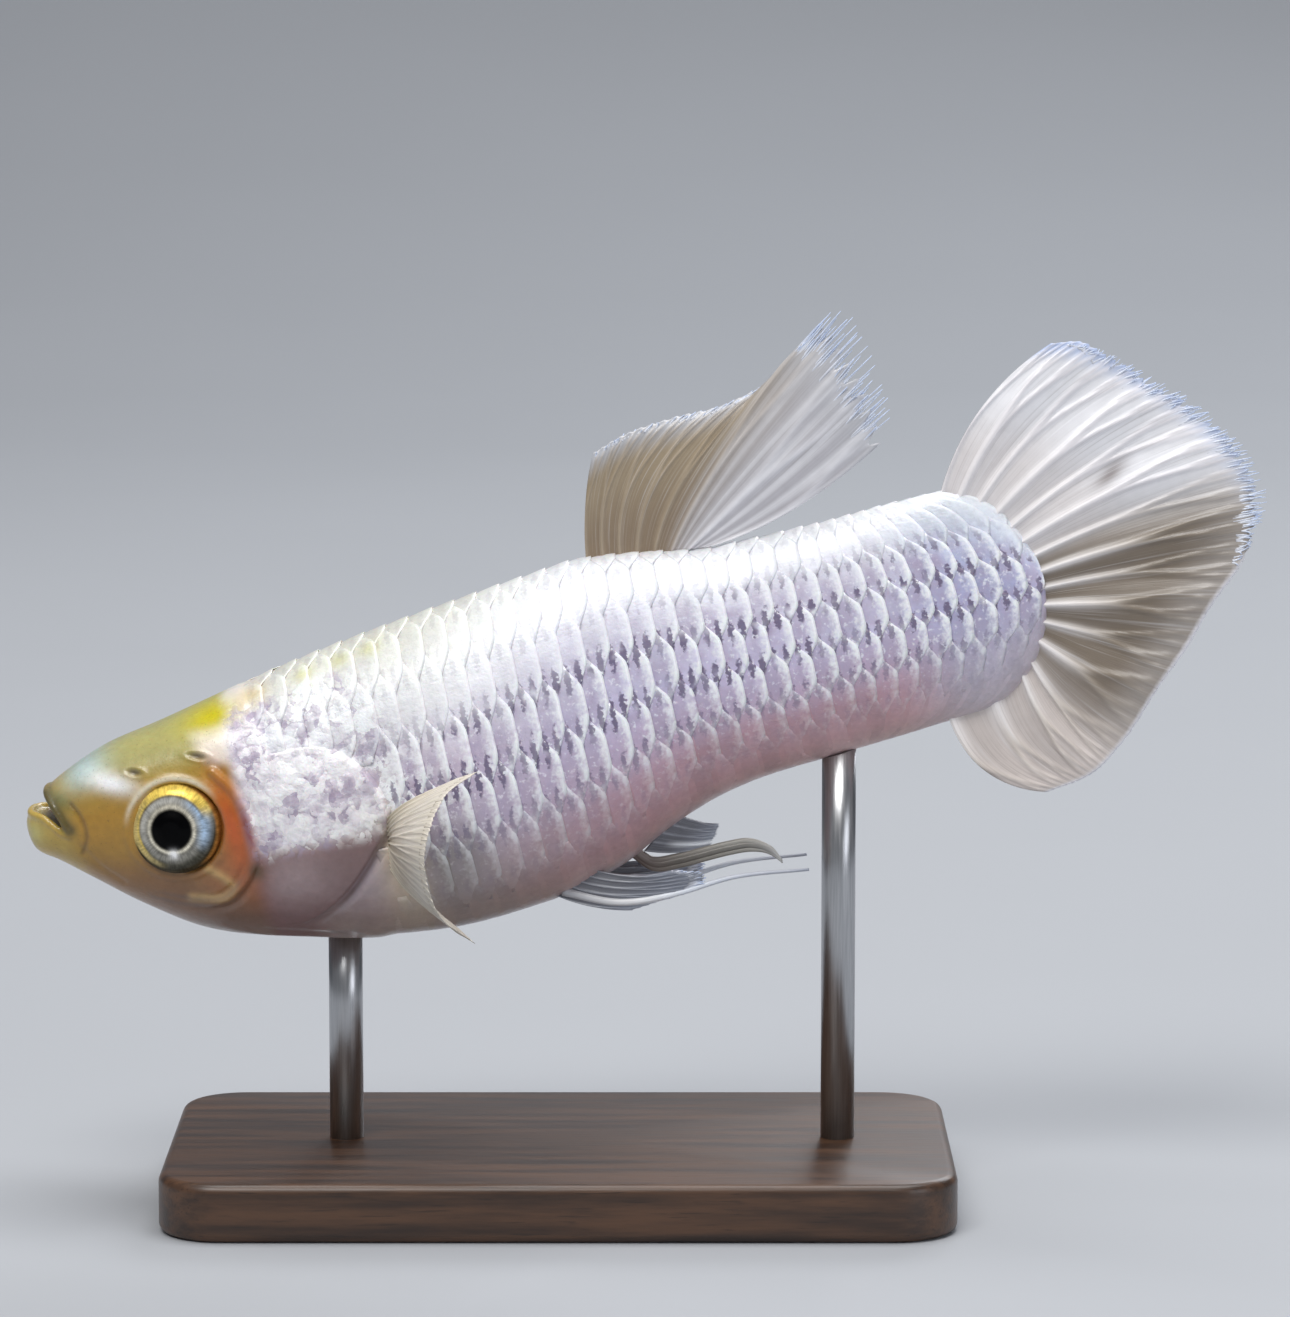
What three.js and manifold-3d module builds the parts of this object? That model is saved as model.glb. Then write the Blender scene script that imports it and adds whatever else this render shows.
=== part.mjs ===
// Platinum white fancy guppy, a male, as a still life-size model on a display stand.
// Millimetres. The fish is modelled level in its own frame: x runs back from the tip of the lower jaw,
// y to the fish's right and z up. The whole fish is then pitched nose down over its stand.
import * as THREE from "three";
import { mergeVertices } from "three/addons/utils/BufferGeometryUtils.js";
import Module from "manifold-3d";

const wasm = await Module();
wasm.setup();

// Driving dimensions
const BODY_LENGTH = 36; // lower jaw tip to the rear edge of the scaled tail stalk
const GAP = 0.3; // between pieces that touch
const NOSE_DOWN = THREE.MathUtils.degToRad(13);
const JAW_TIP = { x: -18.3, z: 12.8 }; // where the fish's own origin stands over the base
const EYE = { x: 5.3, z: -0.75, radius: 1.52, depth: 1.12, out: 1.98 };
const PUPIL_RADIUS = 0.76;
const GILL_COVER_THICKNESS = 0.75;
const GILL_COVER_RISE = 0.1; // how far a gill cover stands proud of the flank
const STALK_END = { x: 32.6, z: 0.5, long: BODY_LENGTH - 32.6, high: 3.95 }; // rounded end of the tail stalk
const STALK_START = 26; // where the trunk passes into the tail stalk
const FIN = { membrane: 0.5, rise: 0.24, tip: 0.26 }; // full thicknesses
const BASE = { long: 27, wide: 15, high: 2, corner: 2.2, bevel: 0.3 };
const ROD_RADIUS = 0.6;
const ROD_SEAT = 0.9; // how deep a rod stands in the base
const SLIVER = 0.01; // corners nearer than this are one

// Outlines of the body, as heights and half widths along x
const dorsal = through([
  [0, 0.1], [0.08, 0.42], [0.33, 0.74], [0.9, 1.22], [1.7, 1.66], [3.4, 2.29], [5.1, 2.6], [6.9, 2.97],
  [10.3, 3.68], [13.7, 4.18], [18.8, 4.76], [20.6, 4.92], [22.5, 4.72], [25.4, 4.27], [28.5, 4.27], [32.6, 4.45],
]);
const ventral = through([
  [0, 0.1], [0.05, -0.35], [0.2, -0.75], [0.86, -1.25], [1.7, -1.97], [3.4, -3.42], [5.2, -4.66], [6.6, -5.24],
  [8.8, -5.83], [11, -6.35], [14.2, -6.67], [17, -6.5], [19.6, -5.9], [21.5, -5], [22.6, -4.56],
  [23.8, -4.2], [25.4, -3.94], [27.6, -3.8], [30, -3.65], [32.6, -3.45],
]);
const halfWidth = through([
  [0, 0], [0.08, 0.62], [0.33, 1.08], [0.9, 1.5], [1.7, 1.87], [3.4, 2.36], [5.3, 2.74], [8, 3.1],
  [11, 3.35], [14, 3.35], [18, 3.02], [22, 2.42], [26, 1.88], [30, 1.46], [32.6, 1.2], [36.5, 0.55],
]);
const widestShare = through([[0, 0.5], [3, 0.6], [6, 0.56], [12, 0.45], [20, 0.48], [36, 0.5]]);
const backSquareness = through([[0, 2.1], [2, 2.6], [7, 2.5], [12, 2.1], [36, 2.1]]);
const bellySquareness = through([[0, 2.1], [6, 2.1], [14, 2.25], [22, 2.1], [36, 2.1]]);

// A smooth curve through [position, value] pairs that never overshoots them.
function through(pairs) {
  const slopes = pairs.slice(1).map(([x, y], i) => (y - pairs[i][1]) / (x - pairs[i][0]));
  const tangents = pairs.map((_, i) => {
    const before = slopes[Math.max(0, i - 1)];
    const after = slopes[Math.min(slopes.length - 1, i)];
    return before * after <= 0 ? 0 : (2 * before * after) / (before + after);
  });
  return (x) => {
    const after = pairs.findIndex(([place]) => place > x);
    if (after === 0) return pairs[0][1];
    if (after < 0) return pairs.at(-1)[1];
    const i = after - 1;
    const span = pairs[after][0] - pairs[i][0];
    const t = (x - pairs[i][0]) / span;
    const rest = 1 - t;
    return (
      pairs[i][1] * (1 + 2 * t) * rest * rest +
      pairs[after][1] * t * t * (3 - 2 * t) +
      span * t * rest * (tangents[i] * rest - tangents[after] * t)
    );
  };
}

// Solids and geometries
function solidFrom(geometry) {
  const bare = geometry.clone();
  bare.deleteAttribute("normal");
  bare.deleteAttribute("uv");
  const merged = mergeVertices(bare, 1e-4);
  const triVerts = new Uint32Array(merged.index.array);
  const vertProperties = new Float32Array(merged.attributes.position.array);
  const made = new wasm.Manifold(new wasm.Mesh({ numProp: 3, vertProperties, triVerts }));
  if (made.volume() > 0) return made;
  for (let i = 0; i < triVerts.length; i += 3) triVerts.subarray(i, i + 2).reverse();
  return new wasm.Manifold(new wasm.Mesh({ numProp: 3, vertProperties, triVerts }));
}

function largestPiece(solid) {
  return solid.decompose().reduce((most, piece) => (piece.volume() > most.volume() ? piece : most));
}

// The surface of a solid, with the slivers that a cut leaves closed up.
function geometryFrom(solid) {
  const { vertProperties, triVerts } = solid.getMesh();
  const cut = new THREE.BufferGeometry().setAttribute("position", new THREE.BufferAttribute(vertProperties, 3));
  cut.setIndex(new THREE.BufferAttribute(triVerts, 1));
  const geometry = mergeVertices(cut, SLIVER);
  const kept = new Map();
  for (let i = 0; i < geometry.index.count; i += 3) {
    const corners = [0, 1, 2].map((k) => geometry.index.getX(i + k));
    if (new Set(corners).size < 3) continue;
    const key = corners.slice().sort((a, b) => a - b).join();
    if (kept.has(key)) kept.delete(key);
    else kept.set(key, corners);
  }
  geometry.setIndex([...kept.values()].flat());
  geometry.computeVertexNormals();
  return geometry;
}

// A closed surface from rings of equally many points, with one point closing each end.
function closedLoft(rings, firstPole, lastPole) {
  const count = rings[0].length;
  const points = [firstPole, ...rings.flat(), lastPole];
  const last = points.length - 1;
  const faces = [];
  for (let j = 0; j < count; j += 1) {
    const next = (j + 1) % count;
    faces.push(0, 1 + next, 1 + j);
    for (let i = 0; i < rings.length - 1; i += 1) {
      const here = 1 + i * count;
      const ahead = here + count;
      faces.push(here + j, here + next, ahead + next, here + j, ahead + next, ahead + j);
    }
    faces.push(last, last - count + j, last - count + next);
  }
  return solidFrom(new THREE.BufferGeometry().setFromPoints(points).setIndex(faces));
}

// An outline in the side view, as [x, z] pairs, carried across the fish from one y to another.
function prism(outline, fromY = -20, toY = 20) {
  const shape = new THREE.Shape(outline.map(([x, z]) => new THREE.Vector2(x, z)));
  const geometry = new THREE.ExtrudeGeometry(shape, { depth: toY - fromY, bevelEnabled: false });
  return solidFrom(geometry.rotateX(Math.PI / 2).translate(0, toY, 0));
}

// The thin cut between two points of the side view.
function slit(from, to, width = GAP) {
  const along = new THREE.Vector2(to[0] - from[0], to[1] - from[1]).normalize();
  const [dx, dz] = [(-along.y * width) / 2, (along.x * width) / 2];
  return prism([
    [from[0] - dx, from[1] - dz],
    [to[0] - dx, to[1] - dz],
    [to[0] + dx, to[1] + dz],
    [from[0] + dx, from[1] + dz],
  ]);
}

// A closed round outline through a few [x, z] points, moved out by grow.
function roundOutline(points, grow = 0, steps = 44) {
  const curve = new THREE.CatmullRomCurve3(points.map(([x, z]) => new THREE.Vector3(x, 0, z)), true);
  const turn = Math.sign(THREE.ShapeUtils.area(points.map(([x, z]) => new THREE.Vector2(x, z))));
  return Array.from({ length: steps }, (_, i) => {
    const place = curve.getPoint(i / steps);
    const tangent = curve.getTangent(i / steps);
    return [place.x + tangent.z * grow * turn, place.z - tangent.x * grow * turn];
  });
}

// Body
// A point of the skin at x. The angle starts at the fish's right side and passes over the back.
function skinPoint(x, angle, grow = 0) {
  const beyond = Math.max(0, x - STALK_END.x) / (STALK_END.long + grow);
  const narrowing = Math.sqrt(Math.max(0, 1 - beyond * beyond));
  const top = beyond ? STALK_END.z + (STALK_END.high + grow) * narrowing : dorsal(x) + grow;
  const bottom = beyond ? STALK_END.z - (STALK_END.high + grow) * narrowing : ventral(x) - grow;
  const wide = (halfWidth(x) + grow) * Math.pow(narrowing, 0.5);
  const middle = bottom + (top - bottom) * widestShare(x);
  const [c, s] = [Math.cos(angle), Math.sin(angle)];
  const power = 2 / (s > 0 ? backSquareness(x) : bellySquareness(x));
  const reach = s > 0 ? top - middle : middle - bottom;
  return new THREE.Vector3(
    x,
    wide * Math.sign(c) * Math.abs(c) ** power,
    middle + reach * Math.sign(s) * Math.abs(s) ** power,
  );
}

// The body's half width at a height, found on the belly side or the back side of its widest line.
function sideAt(x, z) {
  const middle = ventral(x) + (dorsal(x) - ventral(x)) * widestShare(x);
  const above = z > middle;
  const reach = above ? dorsal(x) - middle : middle - ventral(x);
  const power = above ? backSquareness(x) : bellySquareness(x);
  const share = Math.min(1, Math.abs(z - middle) / reach);
  return halfWidth(x) * (1 - share ** power) ** (1 / power);
}

function bodySolid(grow = 0, sides = 32) {
  const nose = [0.03, 0.1, 0.22, 0.4, 0.65, 1, 1.45, 2, 2.7, 3.5, 4.4, 5.4];
  const flank = Array.from({ length: 16 }, (_, i) => 6.5 + i * 1.68);
  const end = Array.from({ length: 8 }, (_, i) => {
    const turn = (i / 8) * (Math.PI / 2);
    return STALK_END.x + (STALK_END.long + grow) * Math.sin(turn);
  });
  const rings = [...nose, ...flank, ...end].map((x) =>
    Array.from({ length: sides }, (_, j) => skinPoint(x, (j / sides) * 2 * Math.PI, grow)),
  );
  return closedLoft(
    rings,
    new THREE.Vector3(-grow, 0, dorsal(0)),
    new THREE.Vector3(BODY_LENGTH + grow, 0, STALK_END.z),
  );
}

const wholeBody = bodySolid();
const bodyWithGap = bodySolid(GAP);

// Mouth: a narrow opening between the jaws, edged by a lip above and a lip below
const MOUTH = {
  corner: [1.66, -0.34],
  upper: [[1.47, 0.22], [1.2, 0.86], [1.05, 1.17]],
  lower: [[1.38, -0.2], [0.82, 0.4], [0.37, 0.58]],
  lip: 0.15,
};
const JAW_HINGE_LINE = [MOUTH.corner, [2.85, -3.4]];
const gape = prism([MOUTH.corner, ...MOUTH.lower, [-0.4, 0.7], [-0.4, 2.2], [0.98, 2.2], ...MOUTH.upper.toReversed()]);

// A rounded lip from one corner of the mouth round the front of a jaw to the other.
function lip(edge) {
  const side = [MOUTH.corner, ...edge].map(
    ([x, z]) => new THREE.Vector3(x, sideAt(x, z) - MOUTH.lip * 0.5, z),
  );
  const mirrored = side.toReversed().map((p) => new THREE.Vector3(p.x, -p.y, p.z));
  return tube([...side, ...mirrored], () => MOUTH.lip, 16, 6);
}

// A round rod along a smooth path, its radius a function of how far along it is.
function tube(path, radiusAt, steps, sides, flatten = 1) {
  const curve = new THREE.CatmullRomCurve3(path);
  const frames = curve.computeFrenetFrames(steps, false);
  const rings = frames.normals.map((normal, i) => {
    const centre = curve.getPointAt(i / steps);
    return Array.from({ length: sides }, (_, j) => {
      const turn = (j / sides) * 2 * Math.PI;
      return centre
        .clone()
        .addScaledVector(normal, Math.cos(turn) * radiusAt(i / steps))
        .addScaledVector(frames.binormals[i], Math.sin(turn) * radiusAt(i / steps) * flatten);
    });
  });
  return closedLoft(rings, curve.getPointAt(0), curve.getPointAt(1));
}

const upperLip = lip(MOUTH.upper);
const lowerLip = lip(MOUTH.lower);

// Eyes: a flattened ball with a slightly domed pupil, turned a little forward and up
function eyeball(grow = 0) {
  const profile = [new THREE.Vector2(0, -EYE.depth - grow)];
  for (let i = 1; i < 10; i += 1) {
    const turn = -Math.PI / 2 + (i / 10) * Math.PI;
    const radius = (EYE.radius + grow) * Math.cos(turn);
    const dome = grow === 0 && turn > 0 && radius < PUPIL_RADIUS ? 0.07 : 0;
    profile.push(new THREE.Vector2(radius, (EYE.depth + grow) * Math.sin(turn) + dome));
  }
  profile.push(new THREE.Vector2(0, EYE.depth + grow + (grow === 0 ? 0.1 : 0)));
  return solidFrom(new THREE.LatheGeometry(profile, 20));
}

function eyeAt(side, grow = 0) {
  const [forward, upward] = [10, side * 8];
  const turned = side > 0 ? [upward, 0, forward] : [180 + upward, 0, forward];
  return eyeball(grow).rotate(turned).translate(EYE.x, side * EYE.out, EYE.z);
}

// Gill covers: curved plates set into the sides of the head, behind the cheek
const GILL_COVER_OUTLINE = [
  [8.05, 0.35], [9.7, 1], [11.35, 0.55], [12.35, -0.75], [12.45, -2], [11.5, -3.25], [10.1, -4.45],
  [8.5, -5.05], [7.35, -4.5], [7.75, -3], [8.05, -1.3],
];

function gillCover(side) {
  const [fromY, toY] = side > 0 ? [0.6, 6] : [-6, -0.6];
  const region = prism(roundOutline(GILL_COVER_OUTLINE), fromY, toY);
  return largestPiece(bodySolid(GILL_COVER_RISE).intersect(region).subtract(bodySolid(-GILL_COVER_THICKNESS)));
}

const gillPockets = [-1, 1].map((side) => {
  const [fromY, toY] = side > 0 ? [0.3, 6] : [-6, -0.3];
  const region = prism(roundOutline(GILL_COVER_OUTLINE, GAP), fromY, toY);
  return region.subtract(bodySolid(-GILL_COVER_THICKNESS - GAP));
});

// Nostrils: small pits on each side of the snout
const NOSTRIL = { x: 3.95, angle: THREE.MathUtils.degToRad(52), radius: 0.2, depth: 0.3 };
const nostrils = [NOSTRIL.angle, Math.PI - NOSTRIL.angle].map((angle) => {
  const place = skinPoint(NOSTRIL.x, angle);
  const pit = new THREE.SphereGeometry(NOSTRIL.radius, 10, 6).scale(1.35, 1, NOSTRIL.depth / NOSTRIL.radius);
  return solidFrom(pit).translate(place.x, place.y, place.z);
});

// The body parted into head, lower jaw, trunk and tail stalk by thin cuts
const NECK = [[9.9, 7], [8.9, -8]];
const jawSide = prism([
  [-4, 0.9], [-4, -8], [JAW_HINGE_LINE[1][0], -8], JAW_HINGE_LINE[1], MOUTH.corner, [1.3, 0.15], [0.6, 0.85],
]);
const headFront = prism([[-6, 9], NECK[0], NECK[1], [-6, -10]]);
const stalkBack = prism([[STALK_START, 9], [STALK_START, -9], [44, -9], [44, 9]]);

const snout = wholeBody.add(upperLip).add(lowerLip).subtract(gape);
const lowerJaw = largestPiece(snout.intersect(jawSide).subtract(slit(...JAW_HINGE_LINE)));
const skull = [...gillPockets, ...nostrils, eyeAt(-1, GAP), eyeAt(1, GAP)].reduce(
  (rest, cut) => rest.subtract(cut),
  snout.subtract(jawSide).subtract(slit(...JAW_HINGE_LINE)).subtract(slit(...NECK)).intersect(headFront),
);
const trunk = gillPockets.reduce(
  (rest, pocket) => rest.subtract(pocket),
  wholeBody.subtract(headFront).subtract(slit(...NECK)).subtract(stalkBack).subtract(slit([STALK_START, 9], [STALK_START, -9])),
);
const tailStalk = wholeBody.intersect(stalkBack).subtract(slit([STALK_START, 9], [STALK_START, -9]));

// Fins
// A fin is a sheet between two edge rays. Its root, its bend and its free edge are each a curve from
// the first ray to the last, and each ray is a smooth arc from root to edge. Rays stand up as ridges,
// split into two branches past the middle, and reach past the membrane at the free edge.
function fin({ root, bend, edge, rays, steps, perGap = 4, notch = 0.05, pleat = 0, thin = 1 }) {
  const [rootCurve, bendCurve, edgeCurve] = [root, bend, edge].map(
    (points) => new THREE.CatmullRomCurve3(points.map(([x, y, z]) => new THREE.Vector3(x, y, z))),
  );
  const columns = (rays - 1) * perGap;
  const ridge = (column, t) => {
    const phase = (column % perGap) / perGap;
    const single = Math.max(0, Math.cos(phase * 2 * Math.PI));
    const branched = perGap < 4 ? single : phase === 0.25 || phase === 0.75 ? 1 : 0.1;
    const split = THREE.MathUtils.smoothstep(t, 0.45, 0.65);
    return THREE.MathUtils.lerp(single, branched, split);
  };
  const middle = (column, t) => {
    const s = column / columns;
    const reach = t * (1 - notch * (1 - ridge(column, 1)) - notch * 0.6 * Math.abs(Math.sin(column * 2.3)));
    const [a, b, c] = [rootCurve.getPoint(s), bendCurve.getPoint(s), edgeCurve.getPoint(s)];
    const left = 1 - reach;
    return a.multiplyScalar(left * left).addScaledVector(b, 2 * left * reach).addScaledVector(c, reach * reach);
  };
  const grid = [];
  for (let i = 0; i <= steps; i += 1) {
    const t = i / steps;
    for (let j = 0; j <= columns; j += 1) {
      const here = middle(j, t);
      const along = middle(j, Math.min(1, t + 0.02)).sub(middle(j, Math.max(0, t - 0.02)));
      const across = middle(Math.min(columns, j + 0.5), t * 0.7).sub(middle(Math.max(0, j - 0.5), t * 0.7));
      const normal = along.cross(across).normalize();
      here.addScaledVector(normal, pleat * Math.cos((j / perGap) * Math.PI) * Math.sin(t * 2.4));
      const full = thin * (FIN.membrane + FIN.rise * ridge(j, t));
      const half = 0.5 * THREE.MathUtils.lerp(full, FIN.tip, THREE.MathUtils.smoothstep(t, 0.7, 1));
      grid.push([here.clone().addScaledVector(normal, half), here.clone().addScaledVector(normal, -half)]);
    }
  }
  return sheetSolid(grid, columns + 1);
}

// A closed solid from a grid of [front, back] points, row by row, both faces split alike.
function sheetSolid(grid, width) {
  const points = grid.flat();
  const rows = grid.length / width;
  const faces = [];
  const quad = (a, b, c, d) => faces.push(a, b, c, a, c, d);
  const index = (row, column, back) => 2 * (row * width + column) + back;
  for (let i = 0; i < rows - 1; i += 1) {
    for (let j = 0; j < width - 1; j += 1) {
      quad(index(i, j, 0), index(i, j + 1, 0), index(i + 1, j + 1, 0), index(i + 1, j, 0));
      faces.push(index(i, j, 1), index(i + 1, j + 1, 1), index(i, j + 1, 1));
      faces.push(index(i, j, 1), index(i + 1, j, 1), index(i + 1, j + 1, 1));
    }
    quad(index(i, 0, 0), index(i + 1, 0, 0), index(i + 1, 0, 1), index(i, 0, 1));
    quad(index(i + 1, width - 1, 0), index(i, width - 1, 0), index(i, width - 1, 1), index(i + 1, width - 1, 1));
  }
  for (let j = 0; j < width - 1; j += 1) {
    quad(index(0, j + 1, 0), index(0, j, 0), index(0, j, 1), index(0, j + 1, 1));
    quad(index(rows - 1, j, 0), index(rows - 1, j + 1, 0), index(rows - 1, j + 1, 1), index(rows - 1, j, 1));
  }
  return solidFrom(new THREE.BufferGeometry().setFromPoints(points).setIndex(faces));
}

const DORSAL_BASE = { front: 20.8, back: 24.9 };
const ROOT_DEPTH = 0.35; // how far a fin is made into the body before the gap is cut
const dorsalFin = fin({
  root: [0, 0.5, 1].map((s) => {
    const x = THREE.MathUtils.lerp(DORSAL_BASE.front, DORSAL_BASE.back, s);
    return [x, 0, dorsal(x) - ROOT_DEPTH * (1 - s)];
  }),
  bend: [[21.1, 0, 6.8], [22.1, -0.1, 7.3], [23.7, -0.2, 7.4], [25.8, -0.2, 6.9], [28.4, 0, 4.4]],
  edge: [
    [21.95, 0, 8.4], [23.4, 0.15, 8.85], [25.1, 0.3, 8.95], [26.9, 0.35, 9], [28.9, 0.3, 9.6],
    [31.6, 0.1, 11.5], [32.3, -0.2, 9.4], [32.4, -0.4, 7],
  ],
  rays: 8,
  steps: 8,
  notch: 0.045,
});

const TAIL_FAN = { top: 82, bottom: -107 }; // degrees round the end of the stalk
const TAIL_BOW = { top: 0.2, bottom: -0.35 }; // how far its edge rays curve, as a share of their length
const tailEdge = [
  [38, 0.5, 8.42], [39.2, 0.6, 8.2], [40.4, 0.6, 7.4], [41.5, 0.6, 6.4], [42.5, 0.5, 5.45], [43.4, 0.3, 4.25],
  [44, 0.1, 3.2], [44.25, -0.2, 2], [43.9, -0.5, 0.9], [42.7, -0.8, -0.3], [41.4, -1, -1.4], [40.2, -1.1, -2.65],
  [38.8, -1.1, -3.95], [37.4, -1, -5.35], [36.1, -0.8, -6.25], [34.5, -0.5, -6.55],
];
const tailRoot = tailEdge.map((_, i) => {
  const turn = THREE.MathUtils.degToRad(THREE.MathUtils.lerp(TAIL_FAN.top, TAIL_FAN.bottom, i / (tailEdge.length - 1)));
  const x = STALK_END.x + (STALK_END.long - ROOT_DEPTH) * Math.cos(turn);
  const z = STALK_END.z + (STALK_END.high - ROOT_DEPTH) * Math.sin(turn);
  return [x, 0, x > STALK_END.x ? z : ventral(x) + ROOT_DEPTH];
});
const tailBend = tailEdge.map(([x, y, z], i) => {
  const [fromX, , fromZ] = tailRoot[i];
  const swing = THREE.MathUtils.lerp(TAIL_BOW.top, TAIL_BOW.bottom, i / (tailEdge.length - 1));
  return [(x + fromX) / 2 - (z - fromZ) * swing, y * 0.2, (z + fromZ) / 2 + (x - fromX) * swing];
});
const tailFin = fin({ root: tailRoot, bend: tailBend, edge: tailEdge, rays: 16, steps: 9, notch: 0.045, pleat: 0.16 });

// Pectoral fins: held out from the body and cupped, so that the middle rays point outwards
function pectoralFin(side) {
  const outward = (x, z, out) => [x, side * (sideAt(x, z) + out), z];
  return fin({
    root: [outward(12.35, -2.1, -ROOT_DEPTH), outward(12.35, -2.8, -ROOT_DEPTH), outward(12.15, -3.5, -ROOT_DEPTH)],
    bend: [[13.1, side * 4.7, -1.2], [12.5, side * 6.2, -2.3], [12.45, side * 4.5, -4.4]],
    edge: [
      [16, side * 5.1, -0.75], [14.8, side * 6.9, -1.1], [13.8, side * 8.1, -2.7], [13.7, side * 7.2, -4.9],
      [14.6, side * 5, -6.65],
    ],
    rays: 9,
    steps: 8,
    perGap: 2,
    notch: 0.07,
  });
}

// Pelvic fins: a narrow fan, and the long second ray that trails back under the belly
const PELVIC_TRAILER = { root: 0.24, tip: 0.1 }; // radii
function pelvicFin(side) {
  const across = (points) => points.map(([x, y, z]) => [x, side * y, z]);
  const fan = fin({
    root: across([[17, 0.75, -6], [17.9, 0.95, -5.85], [18.8, 1.1, -5.6]]),
    bend: across([[18.3, 1.1, -7], [19, 1.25, -6.9], [19.7, 1.4, -6.6], [20.1, 1.5, -6.25]]),
    edge: across([[19.8, 1.2, -7.25], [21.4, 1.25, -7.1], [22.5, 1.35, -6.85], [22.6, 1.5, -6.5], [21.7, 1.6, -6.1]]),
    rays: 5,
    steps: 8,
    perGap: 2,
    notch: 0.05,
  });
  const path = across([[17.5, 0.95, -6.1], [19.3, 1.2, -6.85], [21.2, 1.3, -6.98], [23.4, 1.4, -6.85], [25.9, 1.5, -7.15]]);
  const trailer = tube(
    path.map(([x, y, z]) => new THREE.Vector3(x, y, z)),
    (t) => THREE.MathUtils.lerp(PELVIC_TRAILER.root, PELVIC_TRAILER.tip, t),
    12,
    6,
  );
  return fan.add(trailer);
}

// Gonopodium: the male's rod-like front rays of the anal fin, with the small fan of its hind rays
const gonopodiumRod = tube(
  [
    [20.1, -5.4], [20.7, -6.03], [21.5, -6.12], [22.4, -6.1], [23.3, -6.08], [24.1, -6.14], [24.7, -6.44], [25.05, -6.93],
  ].map(([x, z]) => new THREE.Vector3(x, 0, z)),
  (t) => (t < 0.8 ? 0.36 - 0.08 * t : 0.34 - 0.9 * (t - 0.8)),
  18,
  8,
  0.75,
);
const hindRays = fin({
  root: [[20.5, 0, -5.5], [21.2, 0, -5], [22, 0, -4.6]],
  bend: [[21.6, 0, -5.95], [22.2, 0, -5.5], [22.7, 0, -5.1]],
  edge: [[23, 0.1, -5.95], [23.2, 0.15, -5.55], [23.35, 0.1, -5.2]],
  rays: 4,
  steps: 6,
  perGap: 2,
  notch: 0.08,
});

// Display stand: a flat base with two rods up to the chest and the tail stalk
function baseSolid() {
  const [halfLong, halfWide] = [BASE.long / 2 - BASE.bevel, BASE.wide / 2 - BASE.bevel];
  const corner = BASE.corner - BASE.bevel;
  const shape = new THREE.Shape();
  shape.moveTo(-halfLong + corner, -halfWide);
  shape.absarc(halfLong - corner, -halfWide + corner, corner, -Math.PI / 2, 0);
  shape.absarc(halfLong - corner, halfWide - corner, corner, 0, Math.PI / 2);
  shape.absarc(-halfLong + corner, halfWide - corner, corner, Math.PI / 2, Math.PI);
  shape.absarc(-halfLong + corner, -halfWide + corner, corner, Math.PI, 1.5 * Math.PI);
  const geometry = new THREE.ExtrudeGeometry(shape, {
    depth: BASE.high - 2 * BASE.bevel,
    bevelThickness: BASE.bevel,
    bevelSize: BASE.bevel,
    bevelSegments: 1,
    curveSegments: 4,
  });
  return solidFrom(geometry.translate(0, 0, BASE.bevel));
}

function uprightCylinder(radius, fromZ, toZ, x) {
  const geometry = new THREE.CylinderGeometry(radius, radius, toZ - fromZ, 14);
  return solidFrom(geometry.rotateX(Math.PI / 2).translate(x, 0, (fromZ + toZ) / 2));
}

// Places in the fish's frame, seen in the frame of the stand
const fishPlacing = new THREE.Matrix4()
  .makeTranslation(JAW_TIP.x, 0, JAW_TIP.z)
  .multiply(new THREE.Matrix4().makeRotationY(-NOSE_DOWN));
const fishInPlace = bodyWithGap.transform(fishPlacing.toArray());

const RODS = { front: -7.4, rear: 9.6 }; // places along the base
const rods = Object.fromEntries(
  Object.entries(RODS).map(([name, x]) => {
    const belly = new THREE.Vector3(x, 0, 0).applyMatrix4(fishPlacing.clone().invert());
    const touch = new THREE.Vector3(belly.x, 0, ventral(belly.x)).applyMatrix4(fishPlacing);
    const post = uprightCylinder(ROD_RADIUS, BASE.high - ROD_SEAT, touch.z + 2, x);
    return [name, largestPiece(post.subtract(fishInPlace))];
  }),
);
const base = Object.values(RODS).reduce(
  (rest, x) => rest.subtract(uprightCylinder(ROD_RADIUS + GAP, BASE.high - ROD_SEAT - GAP, BASE.high + 1, x)),
  baseSolid(),
);

// Finishes
const finish = (color, roughness, metalness = 0) => new THREE.MeshStandardMaterial({ color, roughness, metalness });
const pearlWhite = finish(0xe9e4ee, 0.32, 0.15);
const snoutYellow = finish(0xc2a24a, 0.4);
const gillSilver = finish(0xd9cfd8, 0.3, 0.2);
const eyeSilver = finish(0xd6cf9e, 0.18, 0.3);
const finWhite = finish(0xe6e1da, 0.45);
const bodyBeige = finish(0xc9b9ad, 0.4);
const darkWood = finish(0x3b2a20, 0.5);
const steel = finish(0xb9bbbe, 0.3, 0.9);

// Assembly
function piece(name, solid, material) {
  const mesh = new THREE.Mesh(geometryFrom(largestPiece(solid)), material);
  mesh.name = name;
  return mesh;
}

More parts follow.
